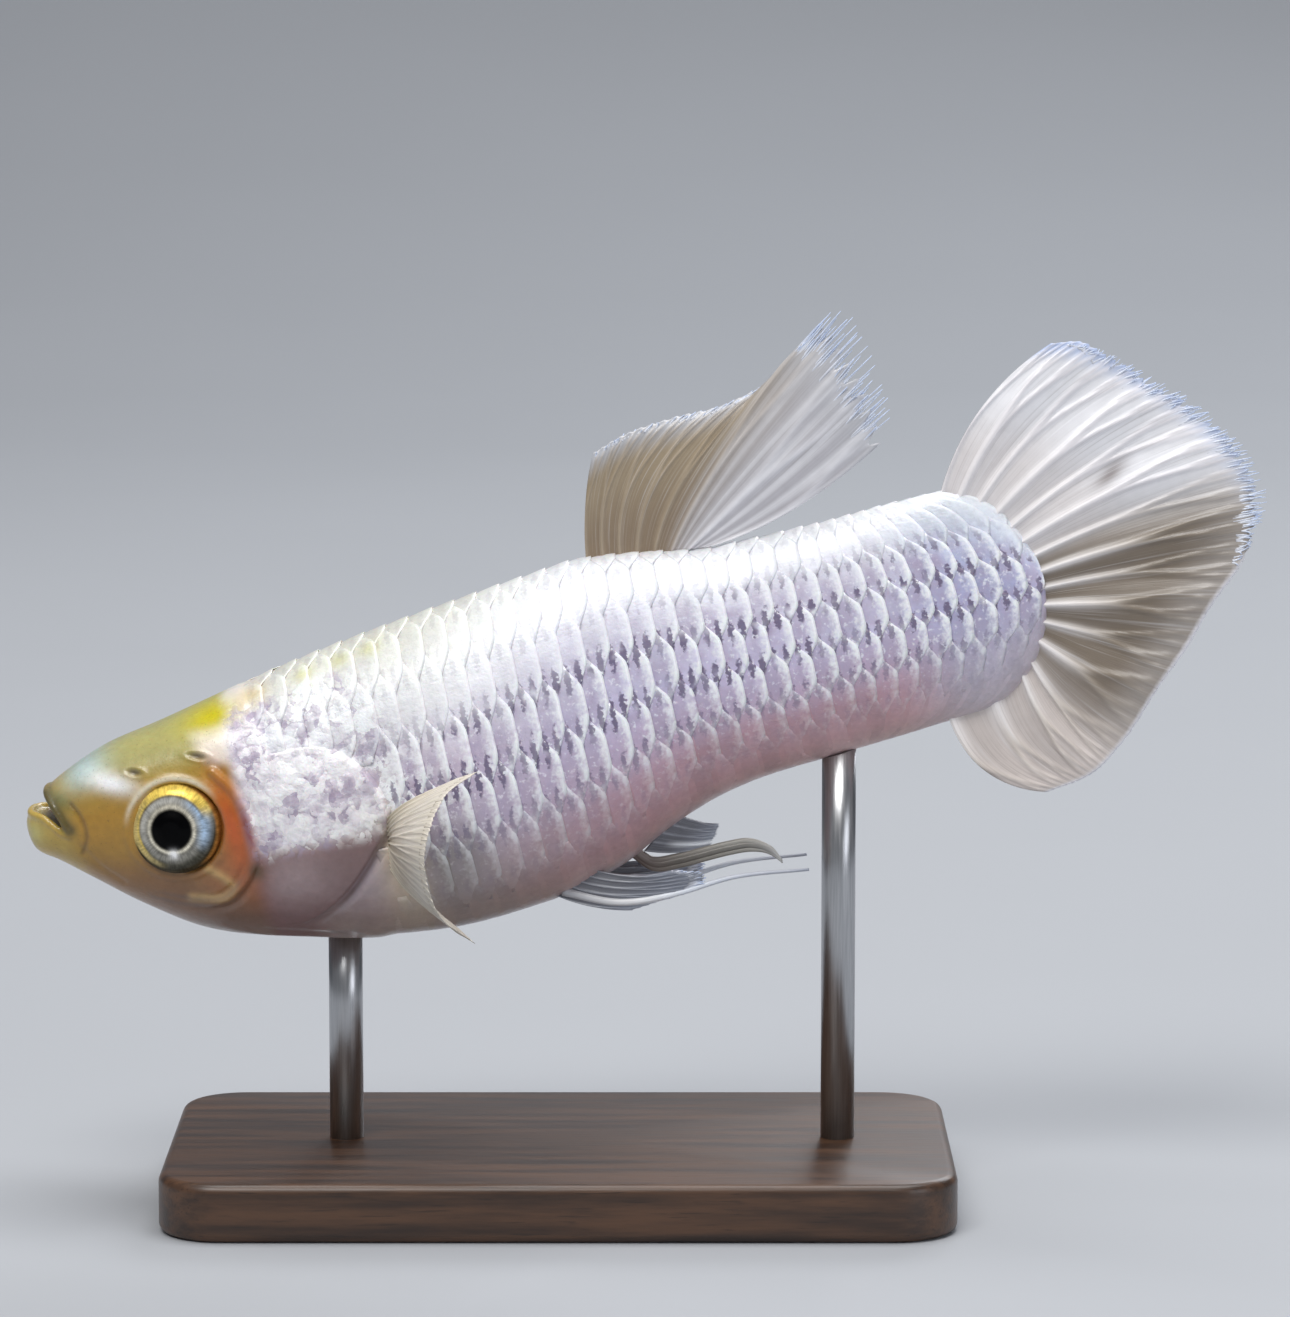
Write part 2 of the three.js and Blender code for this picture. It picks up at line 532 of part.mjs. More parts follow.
const clearOfBody = (solid) => solid.subtract(bodyWithGap);
const fish = new THREE.Group();
fish.add(
  piece("head", skull, snoutYellow),
  piece("lower_jaw", lowerJaw, snoutYellow),
  piece("trunk", trunk, pearlWhite),
  piece("tail_stalk", tailStalk, pearlWhite),
  piece("dorsal_fin", clearOfBody(dorsalFin), finWhite),
  piece("tail_fin", clearOfBody(tailFin), finWhite),
  piece("gonopodium", clearOfBody(gonopodiumRod.add(hindRays)), bodyBeige),
);
for (const [side, word] of [[-1, "left"], [1, "right"]]) {
  fish.add(
    piece(`eye_${word}`, eyeAt(side), eyeSilver),
    piece(`gill_cover_${word}`, gillCover(side), gillSilver),
    piece(`pectoral_fin_${word}`, clearOfBody(pectoralFin(side)), finWhite),
    piece(`pelvic_fin_${word}`, clearOfBody(pelvicFin(side)), finWhite),
  );
}
fish.applyMatrix4(fishPlacing);

const guppy = new THREE.Group();
guppy.add(fish, piece("stand_base", base, darkWood));
for (const [name, rod] of Object.entries(rods)) guppy.add(piece(`stand_rod_${name}`, rod, steel));

export default guppy;
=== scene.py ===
import math

import bpy
import numpy as np
from mathutils import Matrix, Vector


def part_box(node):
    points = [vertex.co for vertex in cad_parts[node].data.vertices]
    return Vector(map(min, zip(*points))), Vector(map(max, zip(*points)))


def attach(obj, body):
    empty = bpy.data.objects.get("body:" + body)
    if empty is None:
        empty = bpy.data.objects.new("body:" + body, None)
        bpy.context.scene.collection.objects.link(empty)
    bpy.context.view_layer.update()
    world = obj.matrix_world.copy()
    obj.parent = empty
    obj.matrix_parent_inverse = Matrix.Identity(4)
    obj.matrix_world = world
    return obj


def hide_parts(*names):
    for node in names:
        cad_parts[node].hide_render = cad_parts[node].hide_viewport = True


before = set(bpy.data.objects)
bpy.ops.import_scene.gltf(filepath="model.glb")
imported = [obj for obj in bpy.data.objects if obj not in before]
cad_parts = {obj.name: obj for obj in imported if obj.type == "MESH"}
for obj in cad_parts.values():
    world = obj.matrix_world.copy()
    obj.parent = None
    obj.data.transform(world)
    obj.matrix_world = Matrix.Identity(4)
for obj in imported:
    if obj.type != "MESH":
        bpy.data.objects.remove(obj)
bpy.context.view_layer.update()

# The fish is built in its own frame, in millimetres: x back from the tip of the lower jaw,
# y to its right and z up. FISH_PLACE carries that frame over the stand, in metres.
MM = 0.001
NOSE_DOWN = math.radians(13)
JAW_TIP = (-18.3, 0, 12.8)
FISH_PLACE = np.array(
    Matrix.Scale(MM, 4) @ Matrix.Translation(JAW_TIP) @ Matrix.Rotation(-NOSE_DOWN, 4, "Y")
)

STALK_X, STALK_Z, STALK_LONG, STALK_HIGH = 32.6, 0.5, 3.4, 3.95  # rounded end of the tail stalk
EYE_X, EYE_Z, EYE_OUT, EYE_RADIUS, EYE_DEPTH = 5.3, -0.75, 2.14, 1.6, 0.88
EYE_FORWARD, EYE_UPWARD = math.radians(10), math.radians(3)
PUPIL_RADIUS = 0.71
SKIN_VOXEL = 0.06
COAT_DEPTH = 0.08  # the skin lies this far under the outside of the scales
SCALE_PITCH = 0.82  # along a row
SCALE_ROWS = 14  # round the whole body, one of them along the middle of the back
NOTHING, FAR = 1e-6, 1e9


# Curves and blends
def through(pairs):
    """A smooth curve through (position, value) pairs that never overshoots them."""
    xs, ys = np.array(pairs, float).T
    slopes = np.diff(ys) / np.diff(xs)
    before = np.concatenate([slopes[:1], slopes])
    after = np.concatenate([slopes, slopes[-1:]])
    total = np.where(before + after == 0, 1, before + after)
    tangents = np.where(before * after <= 0, 0, 2 * before * after / total)

    def curve(x):
        x = np.clip(x, xs[0], xs[-1])
        i = np.clip(np.searchsorted(xs, x, side="right") - 1, 0, len(xs) - 2)
        span = xs[i + 1] - xs[i]
        t = (x - xs[i]) / span
        rest = 1 - t
        bends = span * t * rest * (tangents[i] * rest - tangents[i + 1] * t)
        return ys[i] * (1 + 2 * t) * rest**2 + ys[i + 1] * t**2 * (3 - 2 * t) + bends

    return curve


def smoothstep(low, high, value):
    t = np.clip((value - low) / (high - low), 0, 1)
    return t * t * (3 - 2 * t)


def spline(points, places, closed=False):
    """Places, from 0 to 1, on a centripetal curve through the points."""
    points = np.array(points, float)
    if closed:
        points = np.vstack([points[-1], points, points[0], points[1]])
    else:
        points = np.vstack([2 * points[0] - points[1], points, 2 * points[-1] - points[-2]])
    count = len(points) - 3
    position = np.clip(np.asarray(places, float), 0, 1) * count
    i = np.minimum(position.astype(int), count - 1)
    weight = (position - i)[:, None]
    corners = [points[i + k] for k in range(4)]
    steps = [np.linalg.norm(b - a, axis=1, keepdims=True) for a, b in zip(corners, corners[1:])]
    d0, d1, d2 = (np.maximum(step, NOTHING) ** 0.5 for step in steps)
    p0, p1, p2, p3 = corners
    start = ((p1 - p0) / d0 - (p2 - p0) / (d0 + d1) + (p2 - p1) / d1) * d1
    end = ((p2 - p1) / d1 - (p3 - p1) / (d1 + d2) + (p3 - p2) / d2) * d1
    square = 3 * (p2 - p1) - 2 * start - end
    cube = 2 * (p1 - p2) + start + end
    return p1 + start * weight + square * weight**2 + cube * weight**3


def smooth_line(count, points):
    return spline(points, np.linspace(0, 1, count))


def line_distance(x, z, line):
    """How far a point of the side view is from a line of straight stretches."""
    nearest = np.full(np.shape(x), FAR)
    for (ax, az), (bx, bz) in zip(line[:-1], line[1:]):
        dx, dz = bx - ax, bz - az
        t = np.clip(((x - ax) * dx + (z - az) * dz) / (dx * dx + dz * dz), 0, 1)
        nearest = np.minimum(nearest, np.hypot(x - ax - t * dx, z - az - t * dz))
    return nearest


def outline_depth(x, z, outline):
    """How deep a point of the side view lies inside a closed outline, negative outside."""
    closed = np.vstack([outline, outline[:1]])
    inside = np.zeros(np.shape(x), bool)
    for (ax, az), (bx, bz) in zip(closed[:-1], closed[1:]):
        rise = bz - az if abs(bz - az) > NOTHING else NOTHING
        inside ^= ((az > z) != (bz > z)) & (x < ax + (bx - ax) * (z - az) / rise)
    nearest = line_distance(x, z, closed)
    return np.where(inside, nearest, -nearest)


def bell(distance, width=1.0):
    return np.exp(-((distance / width) ** 2))


def slanted(x, z, centre_x, centre_z, long, high, degrees=0.0):
    """Distance from a centre in half sizes of a slanted ellipse."""
    c, s = math.cos(math.radians(degrees)), math.sin(math.radians(degrees))
    dx, dz = x - centre_x, z - centre_z
    return np.hypot((dx * c + dz * s) / long, (dz * c - dx * s) / high)


def rgb(r, g, b):
    """A colour given as it looks on screen, 0 to 255, as the linear values that shaders use."""
    c = np.array([r, g, b]) / 255
    return np.where(c <= 0.04045, c / 12.92, ((c + 0.055) / 1.055) ** 2.4)


def mix(paint, colour, weight):
    weight = np.clip(weight, 0, 1)[..., None]
    return paint * (1 - weight) + colour * weight


def ramp(value, stops, shades=1):
    """The colour at a value, from stops of place, red, green and blue, each as bright as its shade."""
    places = [stop[0] for stop in stops]
    colours = np.array([rgb(*stop[1:]) for stop in stops]) * np.reshape(shades, (-1, 1))
    return np.stack([np.interp(value, places, colours[:, k]) for k in range(3)], axis=-1)


def dabbed(paint, x, z, dabs):
    """Soft slanted spots: colour, strength, hardness, then centre, half sizes and slant."""
    for colour, strength, hardness, *ellipse in dabs:
        paint = mix(paint, rgb(*colour), strength * bell(slanted(x, z, *ellipse)) ** hardness)
    return paint


def layered(paint, layers):
    """Paint under layers of a colour and its weight."""
    for colour, weight in layers:
        paint = mix(paint, rgb(*colour), weight)
    return paint


def unit(vectors):
    return vectors / np.maximum(np.linalg.norm(vectors, axis=-1, keepdims=True), NOTHING)


def even(value):
    """The same value at every share."""
    return lambda share: np.full(np.shape(share), float(value))


# Form of the body
dorsal = through([
    (0, 0.1), (0.08, 0.42), (0.33, 0.74), (0.9, 1.22), (1.7, 1.66), (3.4, 2.29), (5.1, 2.6), (6.9, 2.97),
    (10.3, 3.68), (13.7, 4.18), (18.8, 4.76), (20.6, 4.92), (22.5, 4.72), (25.4, 4.27), (28.5, 4.27),
    (32.6, 4.45),
])
ventral = through([
    (0, 0.1), (0.05, -0.35), (0.2, -0.75), (0.86, -1.25), (1.7, -1.97), (3.4, -3.42), (5.2, -4.66),
    (6.6, -5.24), (8.8, -5.83), (11, -6.35), (14.2, -6.67), (17, -6.5), (19.6, -5.9), (21.5, -5),
    (22.6, -4.56), (23.8, -4.2), (25.4, -3.94), (27.6, -3.8), (30, -3.65), (32.6, -3.45),
])
half_width = through([
    (0, 0), (0.08, 0.62), (0.33, 1.08), (0.9, 1.5), (1.7, 1.87), (3.4, 2.36), (5.3, 2.74), (8, 3.1),
    (11, 3.35), (14, 3.35), (18, 3.02), (22, 2.42), (26, 1.88), (30, 1.46), (32.6, 1.2), (36.5, 0.55),
])
widest_share = through([(0, 0.5), (3, 0.6), (6, 0.56), (12, 0.45), (20, 0.48), (36, 0.5)])
back_power = through([(0, 2.1), (2, 2.6), (7, 2.5), (12, 2.1), (36, 2.1)])
belly_power = through([(0, 2.1), (6, 2.1), (14, 2.25), (22, 2.1), (36, 2.1)])


def section(x):
    """Top, bottom, half width and height of the widest line of the body at x."""
    beyond = np.maximum(0, x - STALK_X) / STALK_LONG
    narrowing = np.sqrt(np.maximum(0, 1 - beyond**2))
    top = np.where(beyond > 0, STALK_Z + STALK_HIGH * narrowing, dorsal(x))
    bottom = np.where(beyond > 0, STALK_Z - STALK_HIGH * narrowing, ventral(x))
    return top, bottom, half_width(x) * np.sqrt(narrowing), bottom + (top - bottom) * widest_share(x)


def skin_point(x, angle):
    """The body's surface at x, at an angle round its widest line."""
    top, bottom, wide, middle = section(x)
    c, s = np.cos(angle), np.sin(angle)
    power = 2 / np.where(s > 0, back_power(x), belly_power(x))
    reach = np.where(s > 0, top - middle, middle - bottom)
    y = wide * np.sign(c) * np.abs(c) ** power
    z = middle + reach * np.sign(s) * np.abs(s) ** power
    return np.stack(np.broadcast_arrays(x, y, z), axis=-1)


def side_at(x, z):
    """The body's half width at a height."""
    top, bottom, wide, middle = section(x)
    above = z > middle
    reach = np.maximum(np.where(above, top - middle, middle - bottom), NOTHING)
    power = np.where(above, back_power(x), belly_power(x))
    share = np.minimum(1, np.abs(z - middle) / reach)
    return wide * np.maximum(0, 1 - share**power) ** (1 / power)


def height_share(x, z):
    """0 at the belly's edge, 1 at the back's."""
    top, bottom, _, _ = section(x)
    return np.clip((z - bottom) / np.maximum(top - bottom, NOTHING), 0, 1)


# Meshes
def grid_faces(rows, columns, wrap=False):
    """Four-cornered faces of a grid of points, closed on itself across its columns where wrap is set."""
    i, j = np.meshgrid(np.arange(rows - 1), np.arange(columns if wrap else columns - 1), indexing="ij")
    here, next_column = i * columns + j, i * columns + (j + 1) % columns
    quads = np.stack([here, next_column, next_column + columns, here + columns], axis=-1)
    return quads.reshape(-1, 4).tolist()


def sheet_faces(rows, columns):
    """Faces of a closed sheet: the front grid, the back grid and the border between them."""
    count = rows * columns
    front = np.array(grid_faces(rows, columns))
    border = np.concatenate([
        np.arange(columns), np.arange(2, rows) * columns - 1,
        count - 1 - np.arange(columns), np.arange(rows - 2, 0, -1) * columns,
    ])
    rim = np.stack([border, np.roll(border, -1), np.roll(border, -1) + count, border + count], axis=1)
    return np.concatenate([front[:, ::-1], front + count, rim]).tolist()


def new_mesh(name, points, faces, placed=True):
    """A mesh from points in the fish's frame, which are carried into the world where placed."""
    points = np.asarray(points, float)
    if placed:
        points = points @ FISH_PLACE[:3, :3].T + FISH_PLACE[:3, 3]
    mesh = bpy.data.meshes.new(name)
    mesh.from_pydata(points.tolist(), [], faces)
    mesh.validate()
    return mesh


def new_object(name, mesh):
    obj = bpy.data.objects.new(name, mesh)
    bpy.context.collection.objects.link(obj)
    return obj


def evaluated(obj):
    """The object's mesh with its modifiers applied; the object is removed."""
    mesh = bpy.data.meshes.new_from_object(obj.evaluated_get(bpy.context.evaluated_depsgraph_get()))
    bpy.data.objects.remove(obj)
    return mesh


def vertex_values(items, name):
    values = np.empty(len(items) * 3)
    items.foreach_get(name, values)
    return values.reshape(-1, 3)


def add_paint(mesh, colours):
    colours = np.concatenate([colours, np.ones((len(colours), 1))], axis=1)
    attribute = mesh.attributes.new("paint", "FLOAT_COLOR", "POINT")
    attribute.data.foreach_set("color", colours.astype(np.float32).ravel())


def add_vectors(mesh, name, values):
    attribute = mesh.attributes.new(name, "FLOAT_VECTOR", "POINT")
    attribute.data.foreach_set("vector", values.astype(np.float32).ravel())


def finish_piece(name, mesh, material, nodes=()):
    """A piece of the fish or its stand: smooth, shaded, riding on the body and standing for CAD nodes."""
    mesh.shade_smooth()
    mesh.materials.clear()
    mesh.materials.append(material)
    piece = new_object(name, mesh)
    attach(piece, "root")
    if nodes:
        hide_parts(*nodes)


def outward(points, faces):
    """The faces of a closed surface, turned to look outwards."""
    corners = np.array([face + face[-1:] * (4 - len(face)) for face in faces])
    a, b, c, d = (points[corners[:, k]] for k in range(4))
    volume = np.sum(a * (np.cross(b, c) + np.cross(c, d)))
    return faces if volume > 0 else [face[::-1] for face in faces]


def closed_rings(rings):
    """Points and faces of a closed surface from rings of equally many points, capped at both ends."""
    rows, columns = rings.shape[:2]
    points = np.concatenate([rings.reshape(-1, 3), rings[:1].mean(axis=1), rings[-1:].mean(axis=1)])
    faces = grid_faces(rows, columns, wrap=True)
    first, tail = rows * columns, (rows - 1) * columns
    for j in range(columns):
        k = (j + 1) % columns
        faces.append([first, k, j])
        faces.append([first + 1, tail + j, tail + k])
    return points, outward(points, faces)


def joined(parts):
    """One list of points and one of faces from several."""
    points, faces, start = [], [], 0
    for part_points, part_faces in parts:
        points.append(part_points)
        faces += [[start + corner for corner in face] for face in part_faces]
        start += len(part_points)
    return np.concatenate(points), faces


def tube_rings(path, radius, steps, sides, across=(0.0, 1.0, 0.0)):
    """Rings round a smooth path. The radius is a function of the share of the path."""
    shares = np.linspace(0, 1, steps + 1)
    centres = spline(path, shares)
    along = unit(np.gradient(centres, axis=0))
    first = unit(np.cross(along, across))
    second = np.cross(along, first)
    turn = np.linspace(0, 2 * math.pi, sides, endpoint=False)[None, :, None]
    size = radius(shares)[:, None, None]
    return centres[:, None] + size * (np.cos(turn) * first[:, None] + np.sin(turn) * second[:, None])


def tube_shares(steps, sides):
    """The share of the path at each point of a closed tube."""
    return np.concatenate([np.repeat(np.linspace(0, 1, steps + 1), sides), [0, 1]])


# Materials
class Shader:
    """Builds one material's nodes."""

    def __init__(self, name, **sockets):
        self.material = bpy.data.materials.new(name)
        self.material.use_nodes = True
        self.tree = self.material.node_tree
        self.surface = self.tree.nodes["Principled BSDF"]
        for socket, value in sockets.items():
            self.surface.inputs[socket.replace("_", " ")].default_value = value

    def node(self, kind, **inputs):
        made = self.tree.nodes.new(kind)
        for name, value in inputs.items():
            self.feed(made.inputs[name.replace("_", " ")], value)
        return made

    def feed(self, socket, value):
        if isinstance(value, bpy.types.NodeSocket):
            self.tree.links.new(value, socket)
        elif value is not None:
            socket.default_value = value

    def math(self, operation, *values):
        made = self.tree.nodes.new("ShaderNodeMath")
        made.operation = operation
        for socket, value in zip(made.inputs, values):
            self.feed(socket, value)
        return made.outputs[0]

    def times(self, first, *others):
        for other in others:
            first = self.math("MULTIPLY", first, other)
        return first

    def plus(self, first, *others):
        for other in others:
            first = self.math("ADD", first, other)
        return first

    def less(self, value, taken):
        return self.math("SUBTRACT", value, taken)

    def away(self, *axes):
        """The square of a distance, from each axis's value, centre and half size."""
        steps = (self.math("DIVIDE", self.less(value, centre), size) for value, centre, size in axes)
        return self.plus(*(self.math("POWER", step, 2.0) for step in steps))

    def attribute(self, name, output="Vector"):
        made = self.tree.nodes.new("ShaderNodeAttribute")
        made.attribute_name = name
        return made.outputs[output]

    def paint(self):
        return self.attribute("paint", "Color")

    def parts(self, vector):
        return self.node("ShaderNodeSeparateXYZ", Vector=vector).outputs

    def place(self, scale=(1, 1, 1), vector=None):
        """Where a point is, in millimetres times scale."""
        if vector is None:
            vector = self.node("ShaderNodeTexCoord").outputs["Object"]
            scale = [1000 * s for s in scale]
        mapping = self.node("ShaderNodeMapping", Vector=vector)
        mapping.inputs["Scale"].default_value = scale
        return mapping.outputs[0]

    def noise(self, size, detail=3.0, vector=None, roughness=0.5):
        """Noise from 0 to 1 with features of about the given size in millimetres."""
        grain = {"Scale": 1 / size, "Detail": detail, "Roughness": roughness}
        return self.node("ShaderNodeTexNoise", Vector=vector or self.place(), **grain).outputs["Fac"]

    def between(self, value, low, high):
        made = self.node("ShaderNodeMapRange", Value=value)
        made.interpolation_type = "SMOOTHSTEP"
        made.inputs["From Min"].default_value = low
        made.inputs["From Max"].default_value = high
        return made.outputs[0]

    def mix(self, weight, a, b, blend="MIX"):
        made = self.tree.nodes.new("ShaderNodeMix")
        made.data_type = "RGBA"
        made.blend_type = blend
        self.feed(made.inputs["Factor"], weight)
        for socket, value in zip(made.inputs[6:8], (a, b)):
            self.feed(socket, (*value, 1) if isinstance(value, (tuple, list, np.ndarray)) else value)
        return made.outputs[2]

    def shaded(self, colour, grey):
        tone = self.node("ShaderNodeCombineXYZ", X=grey, Y=grey, Z=grey).outputs[0]
        return self.mix(1.0, colour, tone, "MULTIPLY")

    def varied(self, colour, size, amount, **noise):
        """The colour made up to amount lighter and darker in patches."""
        patches = self.noise(size, **noise)
        return self.shaded(colour, self.math("MULTIPLY_ADD", patches, 2 * amount, 1 - amount))

    def foil(self, colour, weight):
        """Crumpled silver leaf over a colour where weight is 1, with painted shade and painted highlights,
        and the height of its creases.
        """
        drift = self.node("ShaderNodeTexNoise", Vector=self.place(), Scale=1.6, Detail=4.0)
        moved = self.node("ShaderNodeVectorMath")
        self.feed(moved.inputs[0], self.place((1, 1, 0.8)))
        self.feed(moved.inputs[1], drift.outputs["Color"])
        leaves = self.node("ShaderNodeTexVoronoi", Vector=moved.outputs[0], Scale=1.5)
        chips = self.node("ShaderNodeTexVoronoi", Vector=moved.outputs[0], Scale=3.4)
        leaf, chip = (self.parts(cells.outputs["Color"])[0] for cells in (leaves, chips))
        parts = ((leaf, 0.4), (chip, 0.3), (self.noise(0.5, 4.0), 0.6))
        gleam = self.plus(*(self.times(*part) for part in parts))
        # Painted light on the leaf: lavender painted shade where the gleam is low, white painted
        # highlights where it is high.
        colour = self.mix(self.times(weight, self.between(gleam, 0.72, 0.3)), colour, rgb(176, 162, 184))
        colour = self.mix(self.times(weight, self.between(gleam, 0.6, 0.95)), colour, rgb(255, 254, 255))
        relief = self.plus(self.times(leaves.outputs["Distance"], -0.8), self.times(gleam, 0.5))
        return colour, self.times(relief, weight)

    def bump(self, height, depth, strength=1.0, normal=None):
        made = self.node("ShaderNodeBump", Height=height, Strength=strength, Distance=depth * MM)
        self.feed(made.inputs["Normal"], normal)
        return made.outputs[0]

    def done(self, **links):
        for socket, value in links.items():
            self.feed(self.surface.inputs[socket.replace("_", " ")], value)
        return self.material


FLESH = {"Subsurface_Weight": 0.1, "Subsurface_Scale": 0.3 * MM}  # light that spreads under a surface


def skin_material():
    s = Shader("wet_skin", Coat_Weight=0.5, Coat_Roughness=0.15, **FLESH)
    freckled, silver, _ = s.parts(s.attribute("marks"))
    colour = s.varied(s.paint(), 0.9, 0.14)
    colour = s.varied(colour, 0.25, 0.16, detail=5.0)
    specks = s.between(s.noise(0.07, 1.0), 0.66, 0.74)
    colour = s.mix(s.times(specks, freckled), colour, rgb(92, 74, 40))
    colour, relief = s.foil(colour, silver)
    low = s.bump(s.noise(0.5, 4.0), 0.05, 0.5)
    fine = s.bump(s.noise(0.09, 3.0), 0.012, 0.6, low)
    roughness = s.math("MULTIPLY_ADD", s.noise(0.4), 0.25, 0.25)
    return s.done(Base_Color=colour, Roughness=roughness, Normal=s.bump(relief, 0.16, 0.8, fine))


def scale_specks(s, colour, cell_x, cell_z, wobble, weight):
    """Dark specks in the corners between scales, at a scale's middle and at its neighbours'."""
    along, side = s.plus(cell_x, wobble), s.math("ABSOLUTE", s.plus(cell_z, wobble))
    for centre in (0.0, -0.5):
        dark = s.between(s.away((along, centre, 0.13), (side, 0.47, 0.27)), 1.4, 0.5)
        colour = s.mix(s.times(dark, weight, 0.95), colour, rgb(116, 105, 134))
    return colour


def scale_material():
    sheen = {"Sheen_Weight": 0.15, "Sheen_Roughness": 0.4, "Sheen_Tint": (0.8, 0.76, 1, 1)}
    s = Shader("pearl_scales", Coat_Weight=0.4, Coat_Roughness=0.25, **FLESH, **sheen)
    along, silver, chance = s.parts(s.attribute("plate"))
    cell_x, cell_z, contrast = s.parts(s.attribute("cell"))
    colour = s.varied(s.paint(), 1.3, 0.06)
    colour = s.varied(colour, 0.2, 0.16, detail=4.0)
    colour = s.shaded(colour, s.math("MULTIPLY_ADD", chance, 0.2, 0.9))
    wobble = s.times(s.less(s.noise(0.14, 2.0), 0.5), 0.42)
    hollow = s.times(s.between(along, 0.95, 0.6), contrast, s.between(s.noise(0.7, 2.0), 0.15, 0.9))
    colour = s.mix(hollow, colour, rgb(184, 169, 196))
    colour, relief = s.foil(colour, silver)
    fleck = s.between(s.noise(0.16, 2.0), 0.55, 0.75)
    colour = s.mix(s.times(fleck, contrast, 0.75), colour, rgb(252, 248, 255))
    broken = s.between(s.noise(0.4, 2.0), 0.2, 0.55)
    rim = s.times(s.between(s.plus(along, wobble), 0.66, 0.96), broken, contrast)
    colour = s.mix(rim, colour, rgb(255, 252, 255))
    knot = s.away((cell_x, 0.42, 0.16), (s.math("ABSOLUTE", cell_z), 0.3, 0.12))
    colour = s.mix(s.times(s.between(knot, 1.4, 0.3), contrast, 0.8), colour, rgb(255, 255, 255))
    patchy = s.times(contrast, s.between(chance, -0.5, 0.6), s.between(s.noise(0.6, 1.0), 0.25, 0.5))
    colour = scale_specks(s, colour, cell_x, cell_z, wobble, patchy)
    streaks = s.noise(0.3, 3.0, s.place((0.5, 6, 1), s.attribute("cell")))
    ridges = s.bump(relief, 0.1, 0.6, s.bump(streaks, 0.02, 0.4))
    return s.done(Base_Color=colour, Roughness=0.34, Normal=s.bump(s.noise(0.1, 3.0), 0.025, 0.6, ridges))


def fin_material():
    s = Shader("fin_membrane", Coat_Weight=0.3, Coat_Roughness=0.2, Roughness=0.42)
    ray, reach, _ = s.parts(s.attribute("fin"))
    grain = s.node("ShaderNodeCombineXYZ", X=s.times(ray, 13.0), Y=s.times(reach, 0.9)).outputs[0]
    streaks = s.noise(1.0, 4.0, grain, 0.65)
    colour = s.varied(s.paint(), 0.5, 0.08)
    colour = s.mix(s.between(streaks, 0.5, 0.75), colour, s.mix(0.26, colour, rgb(250, 250, 255)))
    colour = s.mix(s.between(streaks, 0.5, 0.25), colour, s.mix(0.3, colour, rgb(110, 96, 92)))
    return s.done(Base_Color=colour, Normal=s.bump(streaks, 0.03, 0.5))


def eye_material():
    s = Shader("eye", Coat_Weight=0.05, Coat_Roughness=0.02, Roughness=0.3, Specular_IOR_Level=0.05)
    radius, turn, metal = s.parts(s.attribute("eye"))
    fibre_place = s.node("ShaderNodeCombineXYZ", X=s.times(radius, 1.5), Y=s.times(turn, 7.0)).outputs[0]
    fibres = s.noise(0.4, 4.0, fibre_place, 0.6)
    mottled = s.plus(s.times(fibres, 0.6), s.times(s.noise(0.22, 3.0), 0.6))
    colour = s.shaded(s.paint(), s.math("MULTIPLY_ADD", s.between(mottled, 0.35, 0.85), 0.8, 0.6))
    return s.done(Base_Color=colour, Metallic=metal, Normal=s.bump(fibres, 0.01, 0.4))


def wood_material():
    s = Shader("dark_wood", Coat_Weight=0.25, Coat_Roughness=0.25)
    grain = s.noise(1.0, 6.0, s.place((0.12, 1.6, 1.6)), 0.6)
    pores = s.noise(0.25, 2.0, s.place((0.15, 2.5, 2.5)))
    colour = s.mix(s.between(grain, 0.3, 0.7), rgb(46, 30, 20), rgb(88, 60, 40))
    colour = s.mix(s.times(s.between(pores, 0.6, 0.7), 0.5), colour, rgb(24, 15, 10))
    roughness = s.math("MULTIPLY_ADD", grain, 0.25, 0.3)
    return s.done(Base_Color=colour, Roughness=roughness, Normal=s.bump(pores, 0.02, 0.4))


def steel_material():
    s = Shader("steel", Metallic=1.0)
    drawn = s.noise(0.3, 3.0, s.place((6, 6, 0.2)))
    colour = s.mix(drawn, rgb(150, 152, 156), rgb(205, 206, 208))
    roughness = s.math("MULTIPLY_ADD", drawn, 0.2, 0.22)
    return s.done(Base_Color=colour, Roughness=roughness, Normal=s.bump(drawn, 0.006, 0.4))


def floor_material():
    s = Shader("pale_floor", Roughness=0.8)
    return s.done(Base_Color=s.varied(rgb(168, 171, 176), 30, 0.02))


# Marks of the head, in the side view
GILL_COVER = spline(
    [
        (8.05, 0.35), (9.7, 1), (11.35, 0.55), (12.35, -0.75), (12.45, -2), (11.5, -3.25), (10.1, -4.45),
        (8.5, -5.05), (7.35, -4.5), (7.75, -3), (8.05, -1.3),
    ],
    np.linspace(0, 1, 60, endpoint=False),
    closed=True,
)
CHEEK_EDGE = smooth_line(40, [
    (6.95, 0.9), (7.5, 0.1), (7.8, -1.2), (7.6, -2.4), (6.95, -3.2), (6.25, -3.6), (5.1, -3.4),
    (3.9, -2.9),
])
EYE_BAG = smooth_line(20, [(6, -2.3), (6.45, -2.75), (6.7, -3.15), (6.3, -3.45), (5.2, -3.25)])
UPPER_JAW_FOLD = smooth_line(12, [(1.9, 0.75), (2.15, 0.2), (2.15, -0.5), (1.85, -1)])
LOWER_JAW_FOLD = smooth_line(12, [(1.85, -0.75), (2.3, -1.5), (3, -2.3)])
NOSTRILS = [(4.3, 1.4, 0.24), (6.55, 1.5, 0.3)]  # the nostril, and the pore over the eye
MOUTH_CORNER = (1.66, -0.34)
UPPER_MOUTH = [(1.47, 0.22), (1.2, 0.86), (1.05, 1.17)]
UPPER_LIP_LINE = np.array([(1.62, -0.1), *UPPER_MOUTH])
LOWER_MOUTH = [(1.38, -0.2), (0.82, 0.4), (0.37, 0.58)]
LIP_RADIUS = 0.14


